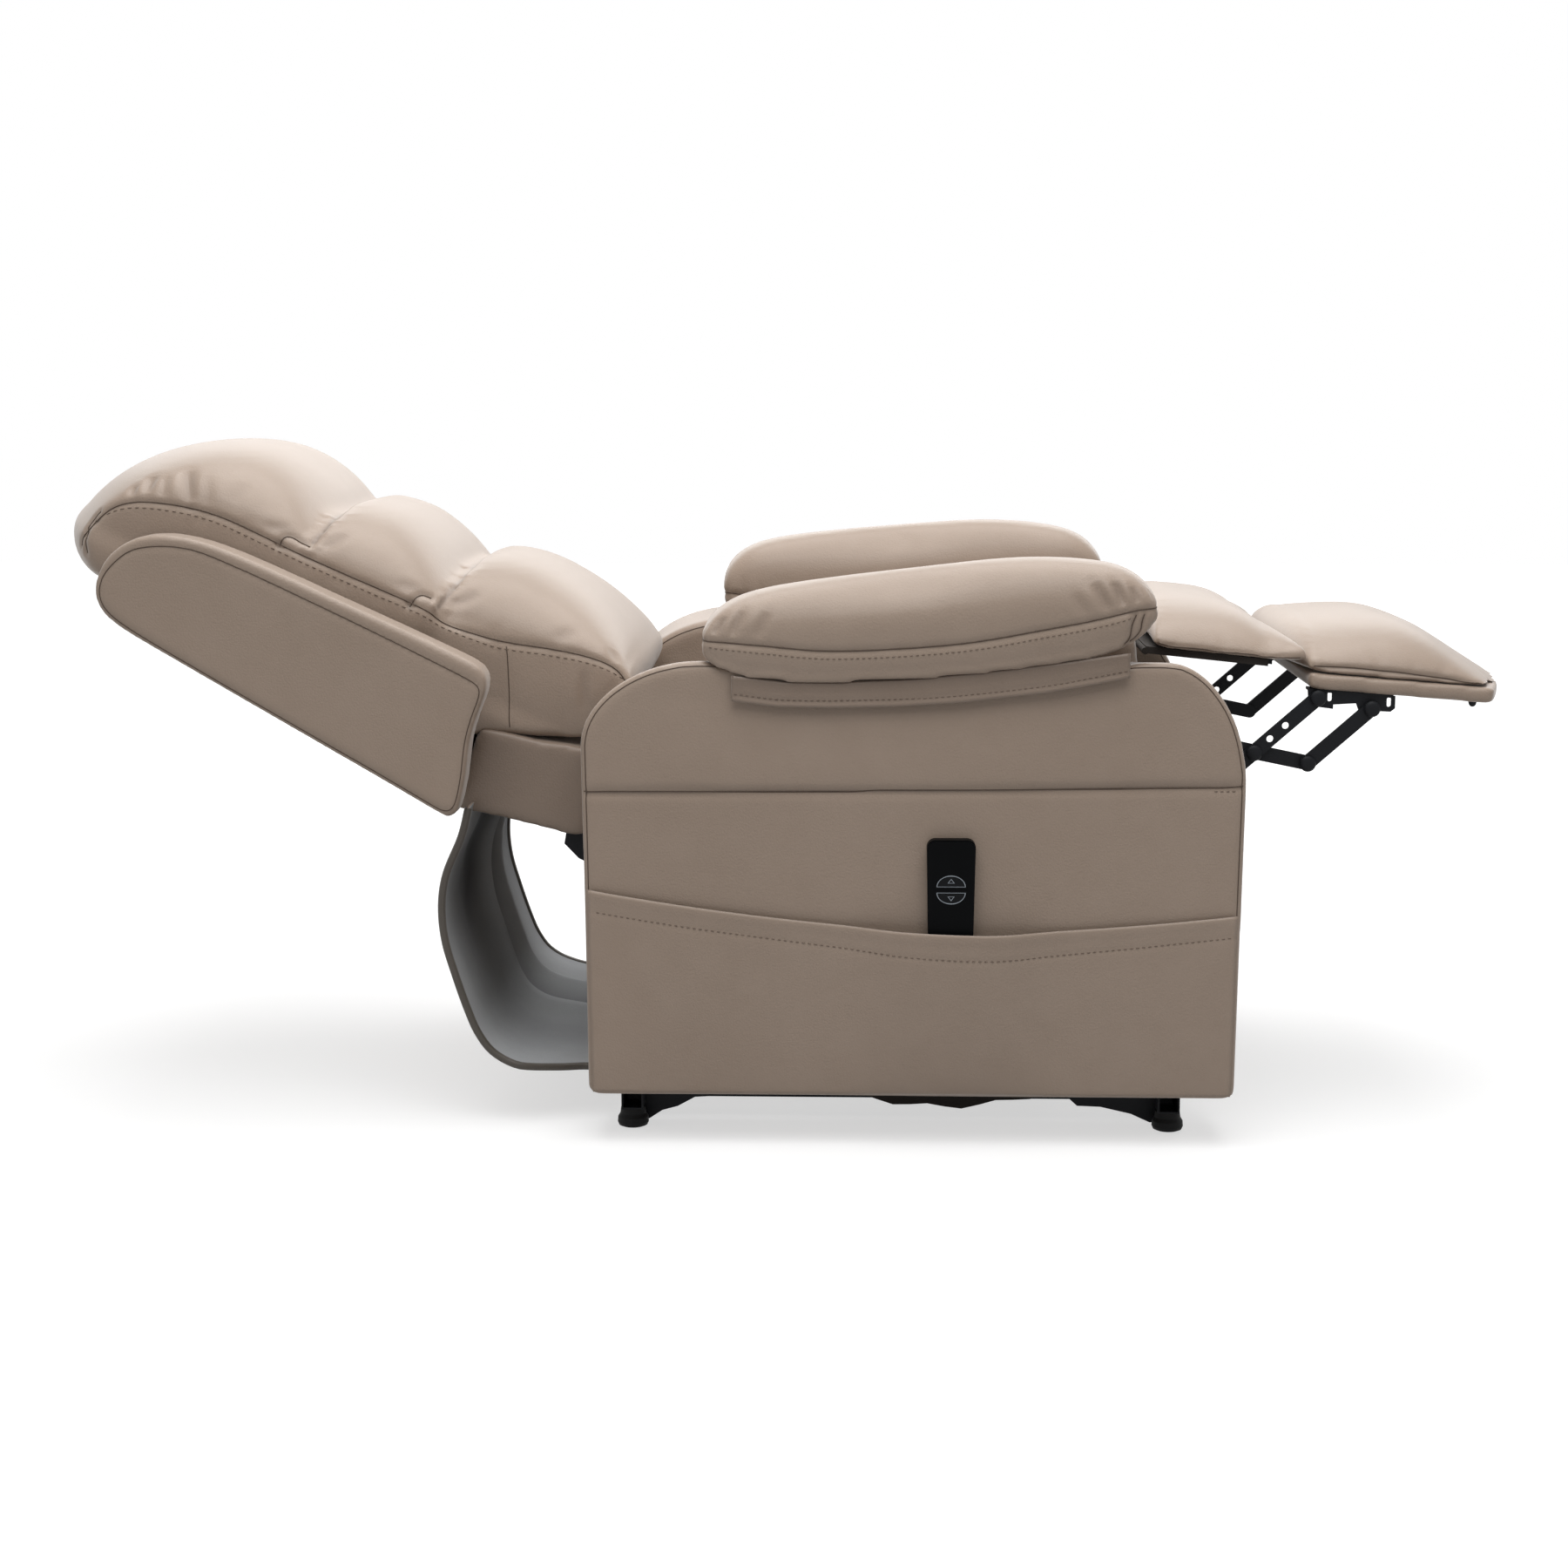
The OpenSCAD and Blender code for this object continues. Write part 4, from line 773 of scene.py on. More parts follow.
for index, path in enumerate(sideSeams):
    side = (-1, 1)[index]
    path = calmed(snapped(piece, path), 4)
    sewn(piece, "backrest", path, 0.0018, 0.0042)
    below = [(u, v - 8) for u, v in backCushion["seam"] if 100 < u < 722]
    stitchOn(piece, "backrest", smoothPath([backPoint(u, side * boxHalf(u), v) for u, v in below], 0.008))
    pucker(piece, path, 0.0007, 0.060, 0.030, 21 + index, aboveSeam)
    # gathers near the head end, then folds at the joins and the lumbar side
    for high, low, middle, deep, wide in (
        ((696, 244, 208), (682, 272, 180), (690, 260, 196), 0.0058, 0.0095),
        ((662, 240, 234), (630, 274, 188), (646, 262, 212), 0.0066, 0.0110),
        ((708, 256, 188), (697, 275, 168), None, 0.0044, 0.0070),
        ((680, 250, 216), (662, 275, 182), (671, 265, 201), 0.0034, 0.0080),
        ((636, 246, 232), (612, 274, 192), (623, 264, 213), 0.0022, 0.0120),
        ((590, 266, 206), (584, 240, 236), None, 0.0018, 0.014),
        ((512, 262, 214), (548, 268, 200), (530, 268, 204), 0.0024, 0.010),
        ((478, 266, 206), (462, 246, 238), (470, 260, 222), 0.0040, 0.011),
        ((350, 266, 214), (384, 268, 202), (366, 268, 206), 0.0022, 0.010),
        ((316, 250, 208), (300, 234, 240), (308, 244, 226), 0.0040, 0.011),
        ((150, 252, 194), (128, 252, 148), (141, 252, 170), 0.0026, 0.0085),
        ((196, 250, 214), (176, 236, 240), None, 0.0022, 0.012),
        ((116, 250, 222), (124, 226, 248), None, 0.0026, 0.012),
    ):
        places = [high, middle, low] if middle else [high, low]
        line = smoothPath([backPoint(u, side * y, v) for u, y, v in places])
        fold(piece, calmed(snapped(piece, line), 2), deep * 0.8, wide)
    if side < 0:
        for join, high in ((backCushion["headJoin"], 240), (backCushion["lumbarJoin"], 243)):
            across = smoothPath([backPoint(join, y, high - 16 * (abs(y) / 255) ** 3) for y in range(-255, 256, 15)])
            across = laidOn(piece, across, (backPoint(0, 0, -1) - backPoint(0, 0, 0)).normalized())
            groove(piece, across, 0.0040, 0.0060, 0.6)
    for loop in (backCushion["headLoop"], backCushion["lumbarLoop"]):
        line = smoothPath([backPoint(u, side * (boxHalf(u) + 1), v) for u, v in loop], 0.004)
        line = calmed(snapped(piece, line), 8)
        sewn(piece, "backrest", line, 0.0030, 0.0050, shade=0.4, passes=12)
    upright = [backPoint(242, side * 253, 184), backPoint(221, side * 252, 140), backPoint(201, side * 252, 96)]
    groove(piece, smoothPath(upright), 0.0016, 0.0036)
    seamOn(piece, "backrest", upright, 0.0006)
    # the corner seams of the boxing at the head end
    for corner in (
        [(727, 125), (736, 112), (747, 96), (752, 78)],
        [(736, 140), (741, 122), (734, 103), (722, 84)],
    ):
        line = snapped(piece, smoothPath([backPoint(u, side * 272, v) for u, v in corner], 0.004))
        sewn(piece, "backrest", line, 0.0026, 0.0040, 0.0006)
settle(piece, "backrest", "leather", *backCushion["fill"])
print("made back cushion")

# ---- seat cushion ----

seat = {"voxel": 0.0075, "cap": 0.008, "draw": 0.004}
piece = roundCopy("seat_cushion", "seatCushion", seat["voxel"])
seatEdge = [(-104, 452), (-84, 470), (-10, 500), (90, 532), (170, 555), (222, 566), (252, 566)]
edges = [smoothPath([chairPoint(x, side * 243, z) for x, z in seatEdge]) for side in (-1, 1)]


def holdSeat(co, out):
    return np.clip((0.445 + (co[:, 0] - 0.05) * 0.25 - co[:, 2]) / 0.01, 0, 1)


inflate(piece, holdSeat, edges, cap=seat["cap"], draw=seat["draw"])
refine(piece)
unevenness(piece, 0.0018, 17, 9)
for index, path in enumerate(edges):
    path = calmed(snapped(piece, path), 4)
    groove(piece, path, 0.002, 0.0045)
    pucker(piece, path, 0.0012, 0.045, 0.03, 41 + index)
    seamOn(piece, "seat_frame", path)
settle(piece, "seat_frame", "leather", "seat_cushion")
print("made seat cushion")

# ---- arms ----

padSeam = [(-233, 570), (-169, 565), (-84, 559), (48, 567), (142, 583), (199, 594), (240, 604), (266, 607)]
armPad = {"voxel": 0.0055, "outer": 385, "inner": 248, "cap": 0.006, "draw": 0.003}


def ringPath(side, shift, drop):
    outer = [chairPoint(x - shift, side * armPad["outer"], z - drop) for x, z in padSeam]
    front = [chairPoint(272 - shift, side * y, 607 - drop) for y in (360, 317, 274)]
    inner = [chairPoint(x - shift, side * armPad["inner"], z - drop) for x, z in reversed(padSeam)]
    rear = [chairPoint(-238 - shift, side * y, 570 - drop) for y in (274, 317, 360)]
    return smoothPath(outer + front + inner + rear + outer[:1], 0.006)


for side, name in ((-1, "right"), (1, "left")):
    shift = 8 if side > 0 else 0
    piece = roundCopy(name + "_arm_pad", name + "ArmPad", armPad["voxel"])
    ring = ringPath(side, shift, 0)

    def holdPad(co, out):
        return np.clip((-out[:, 2] - 0.3) / 0.3, 0, 1)

    inflate(piece, holdPad, [ring], cap=armPad["cap"], draw=armPad["draw"])
    refine(piece)
    unevenness(piece, 0.0008, 21, 60 + side)
    ring = calmed(snapped(piece, ring), 4)
    groove(piece, ring, 0.0018, 0.0040)

    def atEnds(co):
        x = (co[:, 0] - armLine) * 1000 + shift
        above = co[:, 2] > 0.541 + 0.02
        return np.clip((np.abs(x - 17) - 165) / 60, 0.06, 1) * above

    pucker(piece, ring, 0.0012, 0.022, 0.024, 70 + side, atEnds)
    for a, b, deep, wide in (
        ((196, 640), (214, 600), 0.0042, 0.0095),
        ((219, 645), (230, 606), 0.0048, 0.0090),
        ((174, 624), (191, 594), 0.0016, 0.0085),
        ((240, 640), (246, 610), 0.0030, 0.0070),
        ((-214, 610), (-222, 573), 0.0040, 0.0080),
        ((-190, 614), (-200, 572), 0.0036, 0.0085),
        ((-160, 606), (-172, 570), 0.0026, 0.0090),
    ):
        line = [chairPoint(a[0] - shift, side * 378, a[1]), chairPoint(b[0] - shift, side * 386, b[1])]
        fold(piece, snapped(piece, smoothPath(line)), deep, wide)
    for x0, x1 in ((242, 236), (254, 246)):
        line = [chairPoint(x0 - shift, side * 385, 600), chairPoint(x1 - shift, side * 382, 556)]
        line = snapped(piece, smoothPath(line, 0.004))
        sewn(piece, "seat_frame", line, 0.0022, 0.0036, 0.0006, 0.45)
    seamOn(piece, "seat_frame", ring)
    low = [chairPoint(x - shift, side * 385, z - 8.5) for x, z in padSeam[:-1]]
    stitchOn(piece, "seat_frame", low, 0.0065, 0.0042)
    settle(piece, "seat_frame", "leather", name + "_arm_pad")
    print("made", name, "arm pad")

panel = {
    "rear": -368, "front": 368, "top": 541, "bottom": 55, "taper": 6,
    "inner": 260, "outer": 365, "edge": 0.010, "voxel": 0.0046,
    "rearShoulder": (131, 93), "frontShoulder": (88, 134),
}


def panelOutline(draw=0.0):
    # draw pulls the outline in, in millimetres
    pts = []
    for end, key, sign in ((panel["rear"], "rearShoulder", -1), (panel["front"], "frontShoulder", 1)):
        r, h = panel[key]
        for i in range(16):
            a = math.radians(90 - 6 * (i if sign > 0 else 15 - i))
            x = (r - draw) * max(math.cos(a), 0) ** 1.06
            z = (h - draw) * max(math.sin(a), 0) ** 1.06
            pts.append((end + sign * (x - r), panel["top"] - h + z))
    for x0, sign in ((panel["front"] - panel["taper"], 1), (panel["rear"] + panel["taper"], -1)):
        for k in range(5):
            a = math.radians(22.5 * k if sign > 0 else 90 - 22.5 * k)
            cx = x0 - sign * (8 + draw)
            pts.append((cx + sign * 8 * math.cos(a), panel["bottom"] + 8 + draw - 8 * math.sin(a)))
    return pts


for side, name in ((-1, "right"), (1, "left")):
    ends = [chairPoint(x, side * panel["inner"], z) for x, z in panelOutline()]
    piece = slabFrom(name + "ArmPanel", ends, side * 0.105, panel["edge"], panel["voxel"])
    # a little fullness above and below the cross seam, on both faces
    co = points(piece)
    x = (co[:, 0] - armLine) * 1000
    z = co[:, 2] * 1000
    seamZ = 400 + 9 * (x + 368) / 736
    flat = np.clip(np.abs(normals(piece)[:, 1]) - 0.6, 0, 0.4) / 0.4
    upper = np.clip((z - seamZ) / 95, 0, 1)
    lower = np.clip((seamZ - z) / 340, 0, 1)
    swell = np.where(z > seamZ, 2.0 * np.sin(np.pi * upper ** 0.6) ** 0.8, 1.2 * np.sin(np.pi * lower) ** 0.8)
    spread = np.clip(1 - (np.abs(x) / 368) ** 6, 0, 1)
    lip = 1.0 * np.clip((z - seamZ) / 2, 0, 1) * np.clip((seamZ + 50 - z) / 50, 0, 1)
    co[:, 1] += np.sign(co[:, 1] - side * 0.3125) * (swell + lip) * flat * spread / 1000
    outward = np.clip((np.abs(co[:, 1]) - 0.3125) / 0.0525, -1, 1)
    shoulder = np.clip(np.maximum(x - 225, -205 - x) / 25, 0, 1) * np.clip((z - 380) / 90, 0, 1)
    co[:, 2] += 0.0055 * outward * shoulder
    setPoints(piece, co)
    unevenness(piece, 0.0009, 14, 80 + side)
    outer = side * 365
    for y in (outer, side * 260):
        cross = smoothPath([chairPoint(-366, y, 400), chairPoint(0, y, 403), chairPoint(366, y, 409)], 0.02)
        groove(piece, cross, 0.0026, 0.0048)
        seamOn(piece, "seat_frame", snapped(piece, cross))
        tilt = 5.5 if abs(y) > 300 else -5.5
        rim = []
        for px, pz in panelOutline(5):
            high = min(max(max(px - 225, -205 - px) / 25, 0), 1) * min(max((pz - 380) / 90, 0), 1)
            rim.append(chairPoint(px, y, pz + tilt * high))
        rim = rim + rim[:1]
        sewn(piece, "seat_frame", rim, 0.0012, 0.0034, 0.0006, 0.2)
    stitchOn(piece, "seat_frame", [chairPoint(x0, outer, 409.5 + (x0 - 366) * 0.012 - 5) for x0 in (330, 345, 358)], 0.0065, 0.0042)
    settle(piece, "seat_frame", "leather", name + "_arm_panel")
    print("made", name, "arm panel")

# ---- flaps under the arm pads ----

flap = {
    "wall": 0.0032,
    "low": [(-198, 503), (-150, 497), (-94, 496), (-20, 497.5), (49, 502), (144, 513), (200, 523), (235, 530)],
    "top": [(-199, 531), (-141, 524), (-84, 524), (1, 528), (96, 538), (160, 546), (200, 552), (236, 557)],
}
for side, name in ((-1, "right"), (1, "left")):
    bm = bmesh.new()
    columns, rows = 90, 8
    bmesh.ops.create_grid(bm, x_segments=columns, y_segments=rows, size=0.5)
    for v in bm.verts:
        s, t = v.co.x + 0.5, v.co.y + 0.5
        x = -199 + 435 * s
        low = np.interp(x, [q[0] for q in flap["low"]], [q[1] for q in flap["low"]])
        top = np.interp(x, [q[0] for q in flap["top"]], [q[1] for q in flap["top"]])
        z = low + (top - low) * t
        edge = min(z - low, x + 199, 236 - x)
        out = 371.2 + 0.3 * math.sin(x / 23)
        out += 1.1 * math.exp(-((edge - 2.5) / 2.0) ** 2) - 0.9 * math.exp(-((edge - 7) / 1.6) ** 2)
        out += 0.7 * math.exp(-((edge - 10.5) / 1.8) ** 2)
        out += 1.6 * math.exp(-edge / 9)
        v.co = chairPoint(x, side * out, z)
    bmesh.ops.recalc_face_normals(bm, faces=bm.faces)
    piece = fromBmesh(name + "ArmFlap", bm, "leather")
    walled(piece, flap["wall"])
    # painted shade on the flap, deepest at its top under the arm pad's overhang
    high = points(piece)[:, 2] - np.interp(
        (points(piece)[:, 0] - armLine) * 1000, [q[0] for q in flap["top"]], [q[1] / 1000 for q in flap["top"]]
    )
    paintShade(piece, 0.34 + 0.26 * np.clip(1 + high / 0.024, 0, 1))
    path = [chairPoint(x, side * 374, z + 8) for x, z in flap["low"]]
    stitchOn(piece, "seat_frame", path, 0.0065, 0.0044)
    settle(piece, "seat_frame", "leather", name + "_arm_flap")

# ---- side pocket ----

pocket = {"foot": 60, "wall": 0.0024, "hem": 17}


def hemHeight(x):
    if x < 90:
        return 246 + 46 * ((90 - x) / 458) ** 1.7
    return 246 + 20 * ((x - 90) / 278) ** 1.5


def hemWidth(x):
    return 23.5 + 6 * math.exp(-(((x - 70) / 150) ** 2))


def pocketDepth(x, k):
    bow = 8 * max(math.sin(math.pi * (x + 368) / 736), 0) ** 0.4
    held = (18 + 3.2 - 4.2) * math.exp(-(((x - 43) / 95) ** 4))
    return 0.4 + k ** 0.5 * (bow + held)


bm = bmesh.new()
bmesh.ops.create_grid(bm, x_segments=150, y_segments=60, size=0.5)
for v in bm.verts:
    s, t = v.co.x + 0.5, v.co.y + 0.5
    x = -362 + 724 * s
    z = pocket["foot"] + (hemHeight(x) - pocket["foot"]) * t
    out = 365 + pocketDepth(x, t) + 1.2
    drop = hemHeight(x) - z
    out += 0.9 * math.exp(-((drop - 5) / 6.5) ** 2) - 0.7 * math.exp(-((drop - hemWidth(x)) / 2.6) ** 2)
    out += 0.7 * math.sin(x / 41 + t * 2.1) * t * (1 - t) * 3
    taper = 6 * (1 - (z - 55) / 400) * (1 if x < 0 else -1) * abs(x) / 368
    v.co = chairPoint(x + taper, -out, z)
bmesh.ops.recalc_face_normals(bm, faces=bm.faces)
piece = fromBmesh("sidePocket", bm, "leather")
walled(piece, pocket["wall"])
hemLine = [chairPoint(x, -(366.8 + pocketDepth(x, 0.9)), hemHeight(x) - hemWidth(x)) for x in range(-352, 356, 22)]
stitchOn(piece, "seat_frame", hemLine, 0.0068, 0.0044)
settle(piece, "seat_frame", "leather", "side_pocket")
print("made pocket and flaps")

# ---- handset marks ----

keys = {"x": 43, "z": 296, "r": 15.6, "gap": 3.4, "face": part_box("up_button")[0][1] * 1000}


def keyLine(bm, path, width, thick):
    # a raised closed line: a ring of quads with a wall
    n = len(path)
    middle = sum((Vector(q) for q in path), Vector((0, 0))) / n
    rings = []
    for grow in (width / 2, -width / 2):
        for deep in (0, thick):
            row = []
            for q in path:
                away = (Vector(q) - middle).normalized() * grow
                row.append(bm.verts.new(chairPoint(q[0] + away.x, keys["face"] - deep, q[1] + away.y)))
            rings.append(row)
    for a, b in ((0, 1), (1, 3), (3, 2), (2, 0)):
        for i in range(n):
            bm.faces.new([rings[a][i], rings[a][(i + 1) % n], rings[b][(i + 1) % n], rings[b][i]])


for name, up in (("up", 1), ("down", -1)):
    bm = bmesh.new()
    arc = []
    for a in range(0, 181, 10):
        high = keys["gap"] + (keys["r"] - keys["gap"]) * math.sin(math.radians(a))
        arc.append((keys["x"] + keys["r"] * math.cos(math.radians(a)), keys["z"] + up * high))
    keyLine(bm, arc, 0.9, 0.25)
    tip = keys["z"] + up * 12
    keyLine(bm, [(keys["x"], tip), (keys["x"] + 3.4, tip - up * 4.4), (keys["x"] - 3.4, tip - up * 4.4)], 0.9, 0.25)
    bmesh.ops.recalc_face_normals(bm, faces=bm.faces)
    piece = fromBmesh(name + "KeyMark", bm, "mark", False)
    settle(piece, name + "_key", "key_plastic")
print("made handset marks")

# ---- wings, rear cover and lower band ----

wing = {
    "inner": 280, "thick": 50, "edge": 0.012, "voxel": 0.0042,
    "outline": [(251, 158), (266, 161), (341, 163), (427, 164), (513, 165), (565, 164), (600, 160), (630, 152),
                (655, 139), (672, 121), (682, 100), (684, 80), (681, 63), (672, 49), (655, 39), (625, 32.5),
                (547, 23.5), (428, 10.5), (309, -2.5), (232, -11.5), (219, -11), (213, -3), (214, 9), (220, 38),
                (231, 76), (235, 104), (236, 128), (238, 141), (243, 152)],
    "face": [(676, 66), (678, 79), (672, 99), (663, 116), (650, 128), (622, 142), (596, 149), (569, 151),
             (513, 151), (427, 149), (341, 146), (262, 142), (244, 139), (240, 130), (239, 106), (235, 76),
             (223, 36), (217, 7), (219, -4), (228, -8), (309, 1.5), (428, 14), (547, 27), (625, 37),
             (658, 45), (671, 54), (676, 66)],
}


def wingLine(key, y):
    return [backPoint(u, y, v) for u, v in wing[key]]


for side, name in ((-1, "right"), (1, "left")):
    ends = wingLine("outline", side * wing["inner"])
    ends = smoothPath(ends + ends[:1], 0.006)
    piece = slabFrom(name + "Wing", ends[:-1], side * wing["thick"] / 1000, wing["edge"], wing["voxel"])
    unevenness(piece, 0.0006, 17, 90 + side)
    for y in (side * (wing["inner"] + wing["thick"]), side * wing["inner"]):
        rim = wingLine("face", y)
        groove(piece, smoothPath(rim), 0.0013, 0.0034, 0.2)
        seamOn(piece, "backrest", rim, 0.0006)
    settle(piece, "backrest", "leather", name + "_wing")

piece = roundCopy("back_cover", "backCover", 0.006, 3, 0)
refine(piece)
unevenness(piece, 0.001, 12, 97)
settle(piece, "backrest", "leather", "back_cover")

# the band reaches up to the lumbar boxing and out to the wings
piece = roundCopy("back_lower_band", "backLowerBand", 0.005, 2, 0)
refine(piece)
co = points(piece)
u, v = backLocal(co)
corner = np.clip((u - 0.17) / 0.045, 0, 1)
up = np.clip((v - 0.045) / 0.04, 0, 1) * (0.002 + 0.008 * corner)
up -= np.clip((0.04 - v) / 0.04, 0, 1) * (0.005 + 0.005 * corner)
out = corner * (0.010 + 0.008 * np.clip((v - 0.035) / 0.03, 0, 1)) - 0.008 * np.clip((0.12 - u) / 0.04, 0, 1)
shiftBack(co, out, up)
co[:, 1] *= 1.012
setPoints(piece, co)
# painted shade over the whole band, deeper towards its top under the lumbar boxing
paintShade(piece, 0.30 + np.clip((u - 0.1) * 2, 0, 0.2))
unevenness(piece, 0.0012, 20, 99)
settle(piece, "backrest", "leather", "back_lower_band")
print("made back shells")

# ---- footrest ----

footSlope, footAt = math.radians(4.6), (447, 523)
calfSlope, calfAt = math.radians(5.9), (269, 543)


def sloped(at, slope, s, y, up):
    x = at[0] + s * math.cos(slope) + up * math.sin(slope)
    z = at[1] - s * math.sin(slope) + up * math.cos(slope)
    return chairPoint(x, y, z)


footPads = {
    "footrest_pad": {
        "body": "footrest", "at": footAt, "slope": footSlope, "half": 250,
        "crest": 0.742, "spread": 0.056, "rise": 0.009, "front": 0.83, "reach": 0.003, "blunt": 0.002,
        "seam": [(2, 9), (30, 10.5), (60, 11), (100, 10), (139, 9), (180, 7), (206, 4)],
    },
    "calf_pad": {
        "body": "calf_rest", "at": calfAt, "slope": calfSlope, "half": 250,
        "crest": 0.534, "spread": 0.046, "rise": 0.010, "front": 0.556, "reach": 0.012, "blunt": 0.009,
        "seam": [(4, 12), (20, 13), (61, 13), (104, 12), (148, 12), (172, 11)],
    },
}
for name, spec in footPads.items():
    piece = roundCopy(name, name.replace("_p", "P"), 0.0055)
    co, out = points(piece), normals(piece)
    full = np.clip(1 - (np.abs(co[:, 1]) / 0.25) ** 5, 0, 1) * np.clip(out[:, 2] * 1.5, 0, 1)
    ahead = np.clip((co[:, 0] - spec["front"]) / 0.03, 0, 1)
    co[:, 2] += spec["rise"] * full * np.exp(-(((co[:, 0] - spec["crest"]) / spec["spread"]) ** 2))
    co[:, 2] += spec["blunt"] * ahead * np.clip(out[:, 2] * 2, 0, 1)
    co[:, 0] += spec["reach"] * ahead
    setPoints(piece, co)
    edges = [
        smoothPath([sloped(spec["at"], spec["slope"], s, side * spec["half"], up) for s, up in spec["seam"]])
        for side in (-1, 1)
    ]

    def holdFoot(co, out):
        under = np.clip((-out[:, 2] - 0.3) / 0.3, 0, 1)
        start = armLine + spec["at"][0] / 1000
        return np.maximum(under, np.clip((start + 0.02 - co[:, 0]) / 0.01, 0, 1))

    inflate(piece, holdFoot, edges, cap=0.006, draw=0.003)
    refine(piece)
    unevenness(piece, 0.0009, 18, 101)
    for index, path in enumerate(edges):
        path = calmed(snapped(piece, path), 4)
        groove(piece, path, 0.0018, 0.0040)
        pucker(piece, path, 0.0006, 0.034, 0.020, 110 + index)
        seamOn(piece, spec["body"], path)
    settle(piece, spec["body"], "leather", name)
    print("made", name)

piece = roundCopy("footrest_board", "footrestBoard", 0.0045, 3, 0)
refine(piece)
settle(piece, "footrest", "leather", "footrest_board")

# ---- rivet heads and fixing screws ----

domes = {
    "leg_lower_links": {"at": [(390, 431), (451, 419)], "y": 249.3},
    "footrest": {"at": [(461, 494), (522, 482)], "y": 249.3},
}


def domeAt(bm, middle, way, radius, high):
    # a turned head: rings that close towards its top
    turn = Vector((0, 0, 1)).rotation_difference(way).to_matrix()
    rings = []
    for r, h in ((1.0, 0.0), (1.0, 0.25), (0.86, 0.62), (0.58, 0.88), (0.25, 0.99)):
        rings.append([
            bm.verts.new(middle + turn @ Vector((
                radius * r * math.cos(math.tau * i / 20), radius * r * math.sin(math.tau * i / 20), high * h)))
            for i in range(20)
        ])
    for low, top in zip(rings, rings[1:]):
        for i in range(20):
            bm.faces.new([low[i], low[(i + 1) % 20], top[(i + 1) % 20], top[i]])
    bm.faces.new(rings[0])
    bm.faces.new(rings[-1])


for body, spec in domes.items():
    bm = bmesh.new()
    for x, z in spec["at"]:
        for side in (-1, 1):
            domeAt(bm, chairPoint(x, side * spec["y"], z), Vector((0, side, 0)), 0.0092, 0.0034)
    if body == "footrest":
        for y in (-228, 228):
            domeAt(bm, sloped(footAt, footSlope, 194, y, -17), Vector((0, 0, -1)), 0.0048, 0.0080)
    bmesh.ops.recalc_face_normals(bm, faces=bm.faces)
    settle(fromBmesh("rivets_" + body, bm, "steel"), body, "black_steel")

# ---- cloth at the rear ----

skirt = {
    "half": 0.288, "wall": 0.0022, "draw": 0.105, "hem": 0.0046,
    "path": [(-504, 371), (-513, 336), (-531, 293), (-537, 256), (-534, 216), (-523, 176), (-509, 134),
             (-497, 106), (-480, 84), (-452, 69), (-412, 63), (-378, 61), (-345, 61)],
}
line = smoothPath([chairPoint(x, 0, z) for x, z in skirt["path"]], 0.002)
steps = [0.0]
for a, b in zip(line, line[1:]):
    steps.append(steps[-1] + (b - a).length)
length = steps[-1]


def onSkirt(s):
    x = np.interp(s * length, steps, [q.x for q in line])
    z = np.interp(s * length, steps, [q.z for q in line])
    return x, z


def skirtFlare(s):
    # the cloth narrows towards the seat's rear rail
    return 1 - skirt["draw"] * min(max((s - 0.76) / 0.16, 0), 1)


def skirtFolds(t):
    # two upright ridges with a deep valley between them
    ridges = 0.021 * math.exp(-abs((t - 0.02) / 0.045) ** 1.1) + 0.016 * math.exp(-abs((t - 0.46) / 0.08) ** 1.3)
    return ridges - 0.013 * math.exp(-(((t - 0.22) / 0.11) ** 2)) - 0.007 * math.exp(-(((t + 0.3) / 0.2) ** 2))


bm = bmesh.new()
bmesh.ops.create_grid(bm, x_segments=110, y_segments=140, size=0.5)
for v in bm.verts:
    s, t = v.co.x + 0.5, 2 * v.co.y
    x, z = onSkirt(s)
    x0, z0 = onSkirt(max(s - 0.01, 0))
    x1, z1 = onSkirt(min(s + 0.01, 1))
    away = Vector((-(z1 - z0), 0, x1 - x0)).normalized()
    y = t * skirt["half"]
    calm = math.sin(math.pi * s) ** 0.4
    ripple = calm * (skirtFolds(t) + 0.0015 * math.sin(11 * t - 3 * s + 1) * (1 - t ** 4))
    v.co = Vector((x, y * skirtFlare(s), z)) + away * (ripple + 0.0011)
bmesh.ops.recalc_face_normals(bm, faces=bm.faces)
piece = fromBmesh("rearSkirt", bm, ["lining", "leather"])
# painted shade on the lining: darker in the fold valleys, lighter on the ridge crests, low down and near the -y hem
across = points(piece)[:, 1] / skirt["half"]
shade = np.array([0.72 - skirtFolds(t) * 42 - 0.9 * max(-t - 0.5, 0) for t in across])
shade *= np.clip((points(piece)[:, 2] - 0.03) / 0.22, 0.42, 1)
paintShade(piece, np.clip(shade, 0, 0.88))
# the normals decide which side gets the leather
facing = sum(f.normal.x for f in piece.data.polygons)
walled(piece, skirt["wall"], 1)
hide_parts("rear_skirt")
# the turned hems at both sides, in leather painted dark for their shade
hemRuns = []
for side in (-1, 1):
    border = []
    for i in range(61):
        k = 0.004 + 0.992 * i / 60
        x, z = onSkirt(k)
        border.append((x + 0.001, side * (skirt["half"] * skirtFlare(k) - 0.002), z))
    hemRuns.append((border, skirt["hem"]))
hems = tubes("skirtHems", hemRuns, 2, "binding")
for cloth in (piece, hems):
    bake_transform(cloth)
print("skirt facing", round(facing, 1), "length", round(length, 3))

buildSeams()
print("seams and stitches built")

# ---- studio ----

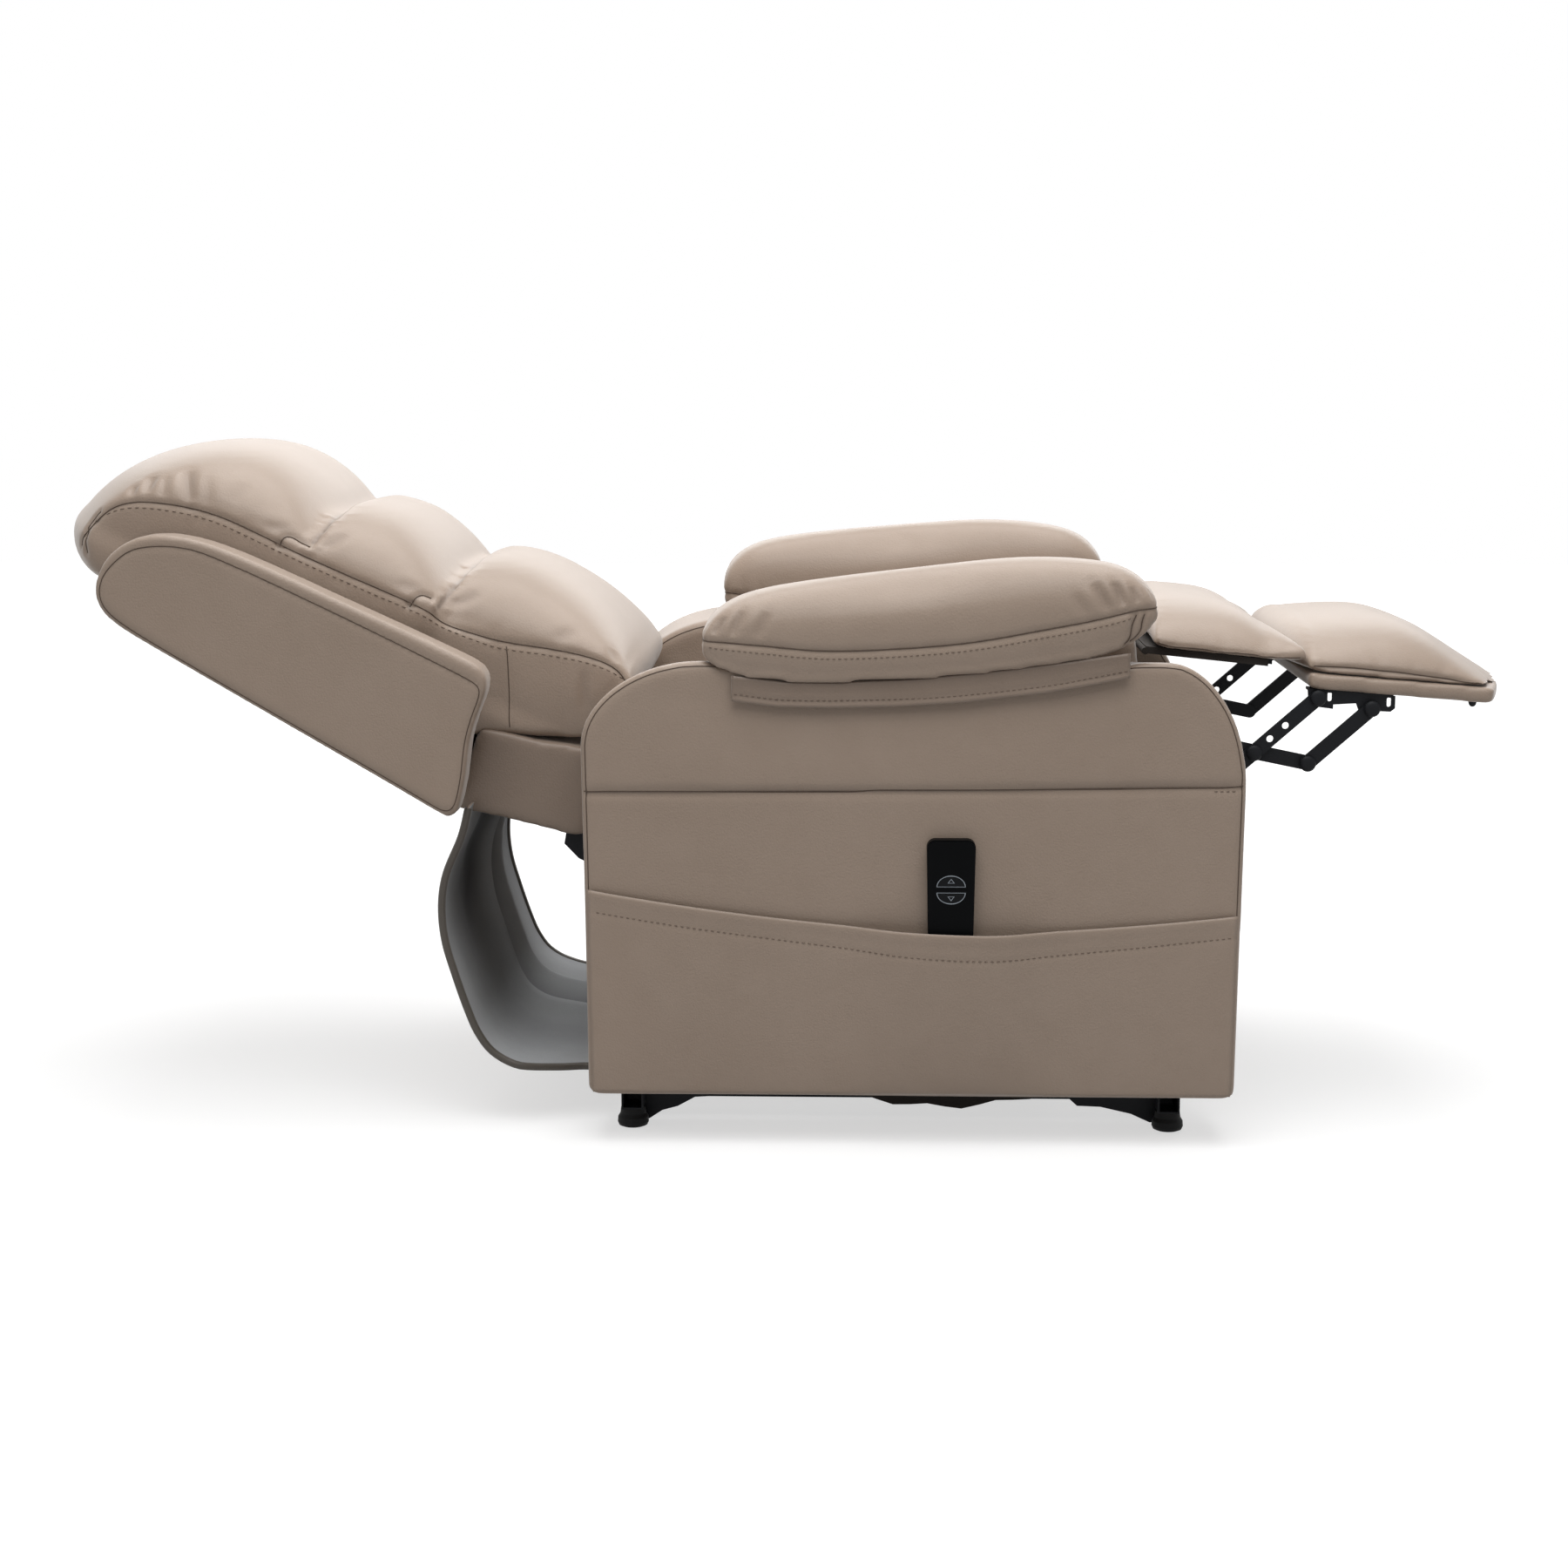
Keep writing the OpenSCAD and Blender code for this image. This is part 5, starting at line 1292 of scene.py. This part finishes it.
studio = {
    "back": 0.23, "top": 91, "high": 33, "rear": 48, "side": 5,
    "floor": (0.5, 0.5, 0.5, 1), "near": 1.7, "far": 3.4, "glow": 0.6, "lens": 63.16, "sensor": 36,
}
camera = bpy.data.objects.new("camera", bpy.data.cameras.new("camera"))
scene.collection.objects.link(camera)
camera.data.lens, camera.data.sensor_width = studio["lens"], studio["sensor"]
right = Vector((0.99951746, 0.03106186, 0))
up = Vector((-0.00461804, 0.14860069, 0.9888865))
forward = Vector((-0.03071666, 0.98840933, -0.14867243))
camera.matrix_world = Matrix.Translation((0.1016, -3.365, 0.8616)) @ Matrix(
    (right, up, -forward)
).transposed().to_4x4()
scene.camera = camera


def softLight(name, place, target, size, power):
    lamp = bpy.data.lights.new(name, "AREA")
    lamp.shape = "RECTANGLE"
    lamp.size, lamp.size_y = size
    lamp.energy = power
    holder = bpy.data.objects.new(name, lamp)
    scene.collection.objects.link(holder)
    holder.location = place
    holder.visible_camera = False
    holder.rotation_euler = (Vector(target) - Vector(place)).to_track_quat("-Z", "Y").to_euler()
    return holder


softLight("topLight", (0.1, 0.0, 2.9), (0.05, 0.0, 0.4), (3.4, 2.4), studio["top"])
softLight("rearLight", (0.0, 3.2, 1.9), (0.05, 0.0, 0.6), (4.6, 1.6), studio["rear"])
softLight("highLight", (0.2, -2.3, 3.0), (0.05, 0, 0.45), (3.0, 1.4), studio["high"])
softLight("sideLight", (-3.0, -1.0, 1.4), (0, 0, 0.4), (1.8, 1.8), studio["side"])

world = bpy.data.worlds.new("studio")
scene.world = world
world.use_nodes = True
tree = world.node_tree
background = tree.nodes["Background"]
white = tree.nodes.new("ShaderNodeBackground")
setInputs(white, {"Strength": 1, "Color": (1, 1, 1, 1)})
setInputs(background, {"Strength": studio["back"], "Color": (1, 1, 1, 1)})
blend = tree.nodes.new("ShaderNodeMixShader")
tree.links.new(backdropRay(tree, "Is Glossy Ray", "Is Transmission Ray"), blend.inputs["Fac"])
tree.links.new(background.outputs[0], blend.inputs[1])
tree.links.new(white.outputs[0], blend.inputs[2])
tree.links.new(blend.outputs[0], tree.nodes["World Output"].inputs["Surface"])

bm = bmesh.new()
bmesh.ops.create_grid(bm, x_segments=4, y_segments=4, size=9)
mesh = bpy.data.meshes.new("floor")
bm.to_mesh(mesh)
bm.free()
floor = bpy.data.objects.new("floor", mesh)
scene.collection.objects.link(floor)
material = bpy.data.materials.new("paleFloor")
material.use_nodes = True
tree = material.node_tree
shader = tree.nodes["Principled BSDF"]
setInputs(shader, {
    "Base Color": studio["floor"], "Roughness": 0.9, "Specular IOR Level": 0.1, "Emission Color": (1, 1, 1, 1),
})
# the floor is white beyond the shadow, and runs into the white behind it
place = tree.nodes.new("ShaderNodeTexCoord")
reach = tree.nodes.new("ShaderNodeVectorMath")
reach.operation = "LENGTH"
tree.links.new(place.outputs["Object"], reach.inputs[0])
fade = tree.nodes.new("ShaderNodeMapRange")
setInputs(fade, {"From Min": studio["near"], "From Max": studio["far"], "To Min": studio["glow"], "To Max": 1})
tree.links.new(reach.outputs["Value"], fade.inputs["Value"])
glow = mathNode(tree, "MULTIPLY", backdropRay(tree, "Is Glossy Ray"), fade.outputs["Result"])
tree.links.new(glow, shader.inputs["Emission Strength"])
mesh.materials.append(material)

scene.view_settings.view_transform = "Standard"
print("studio ready")
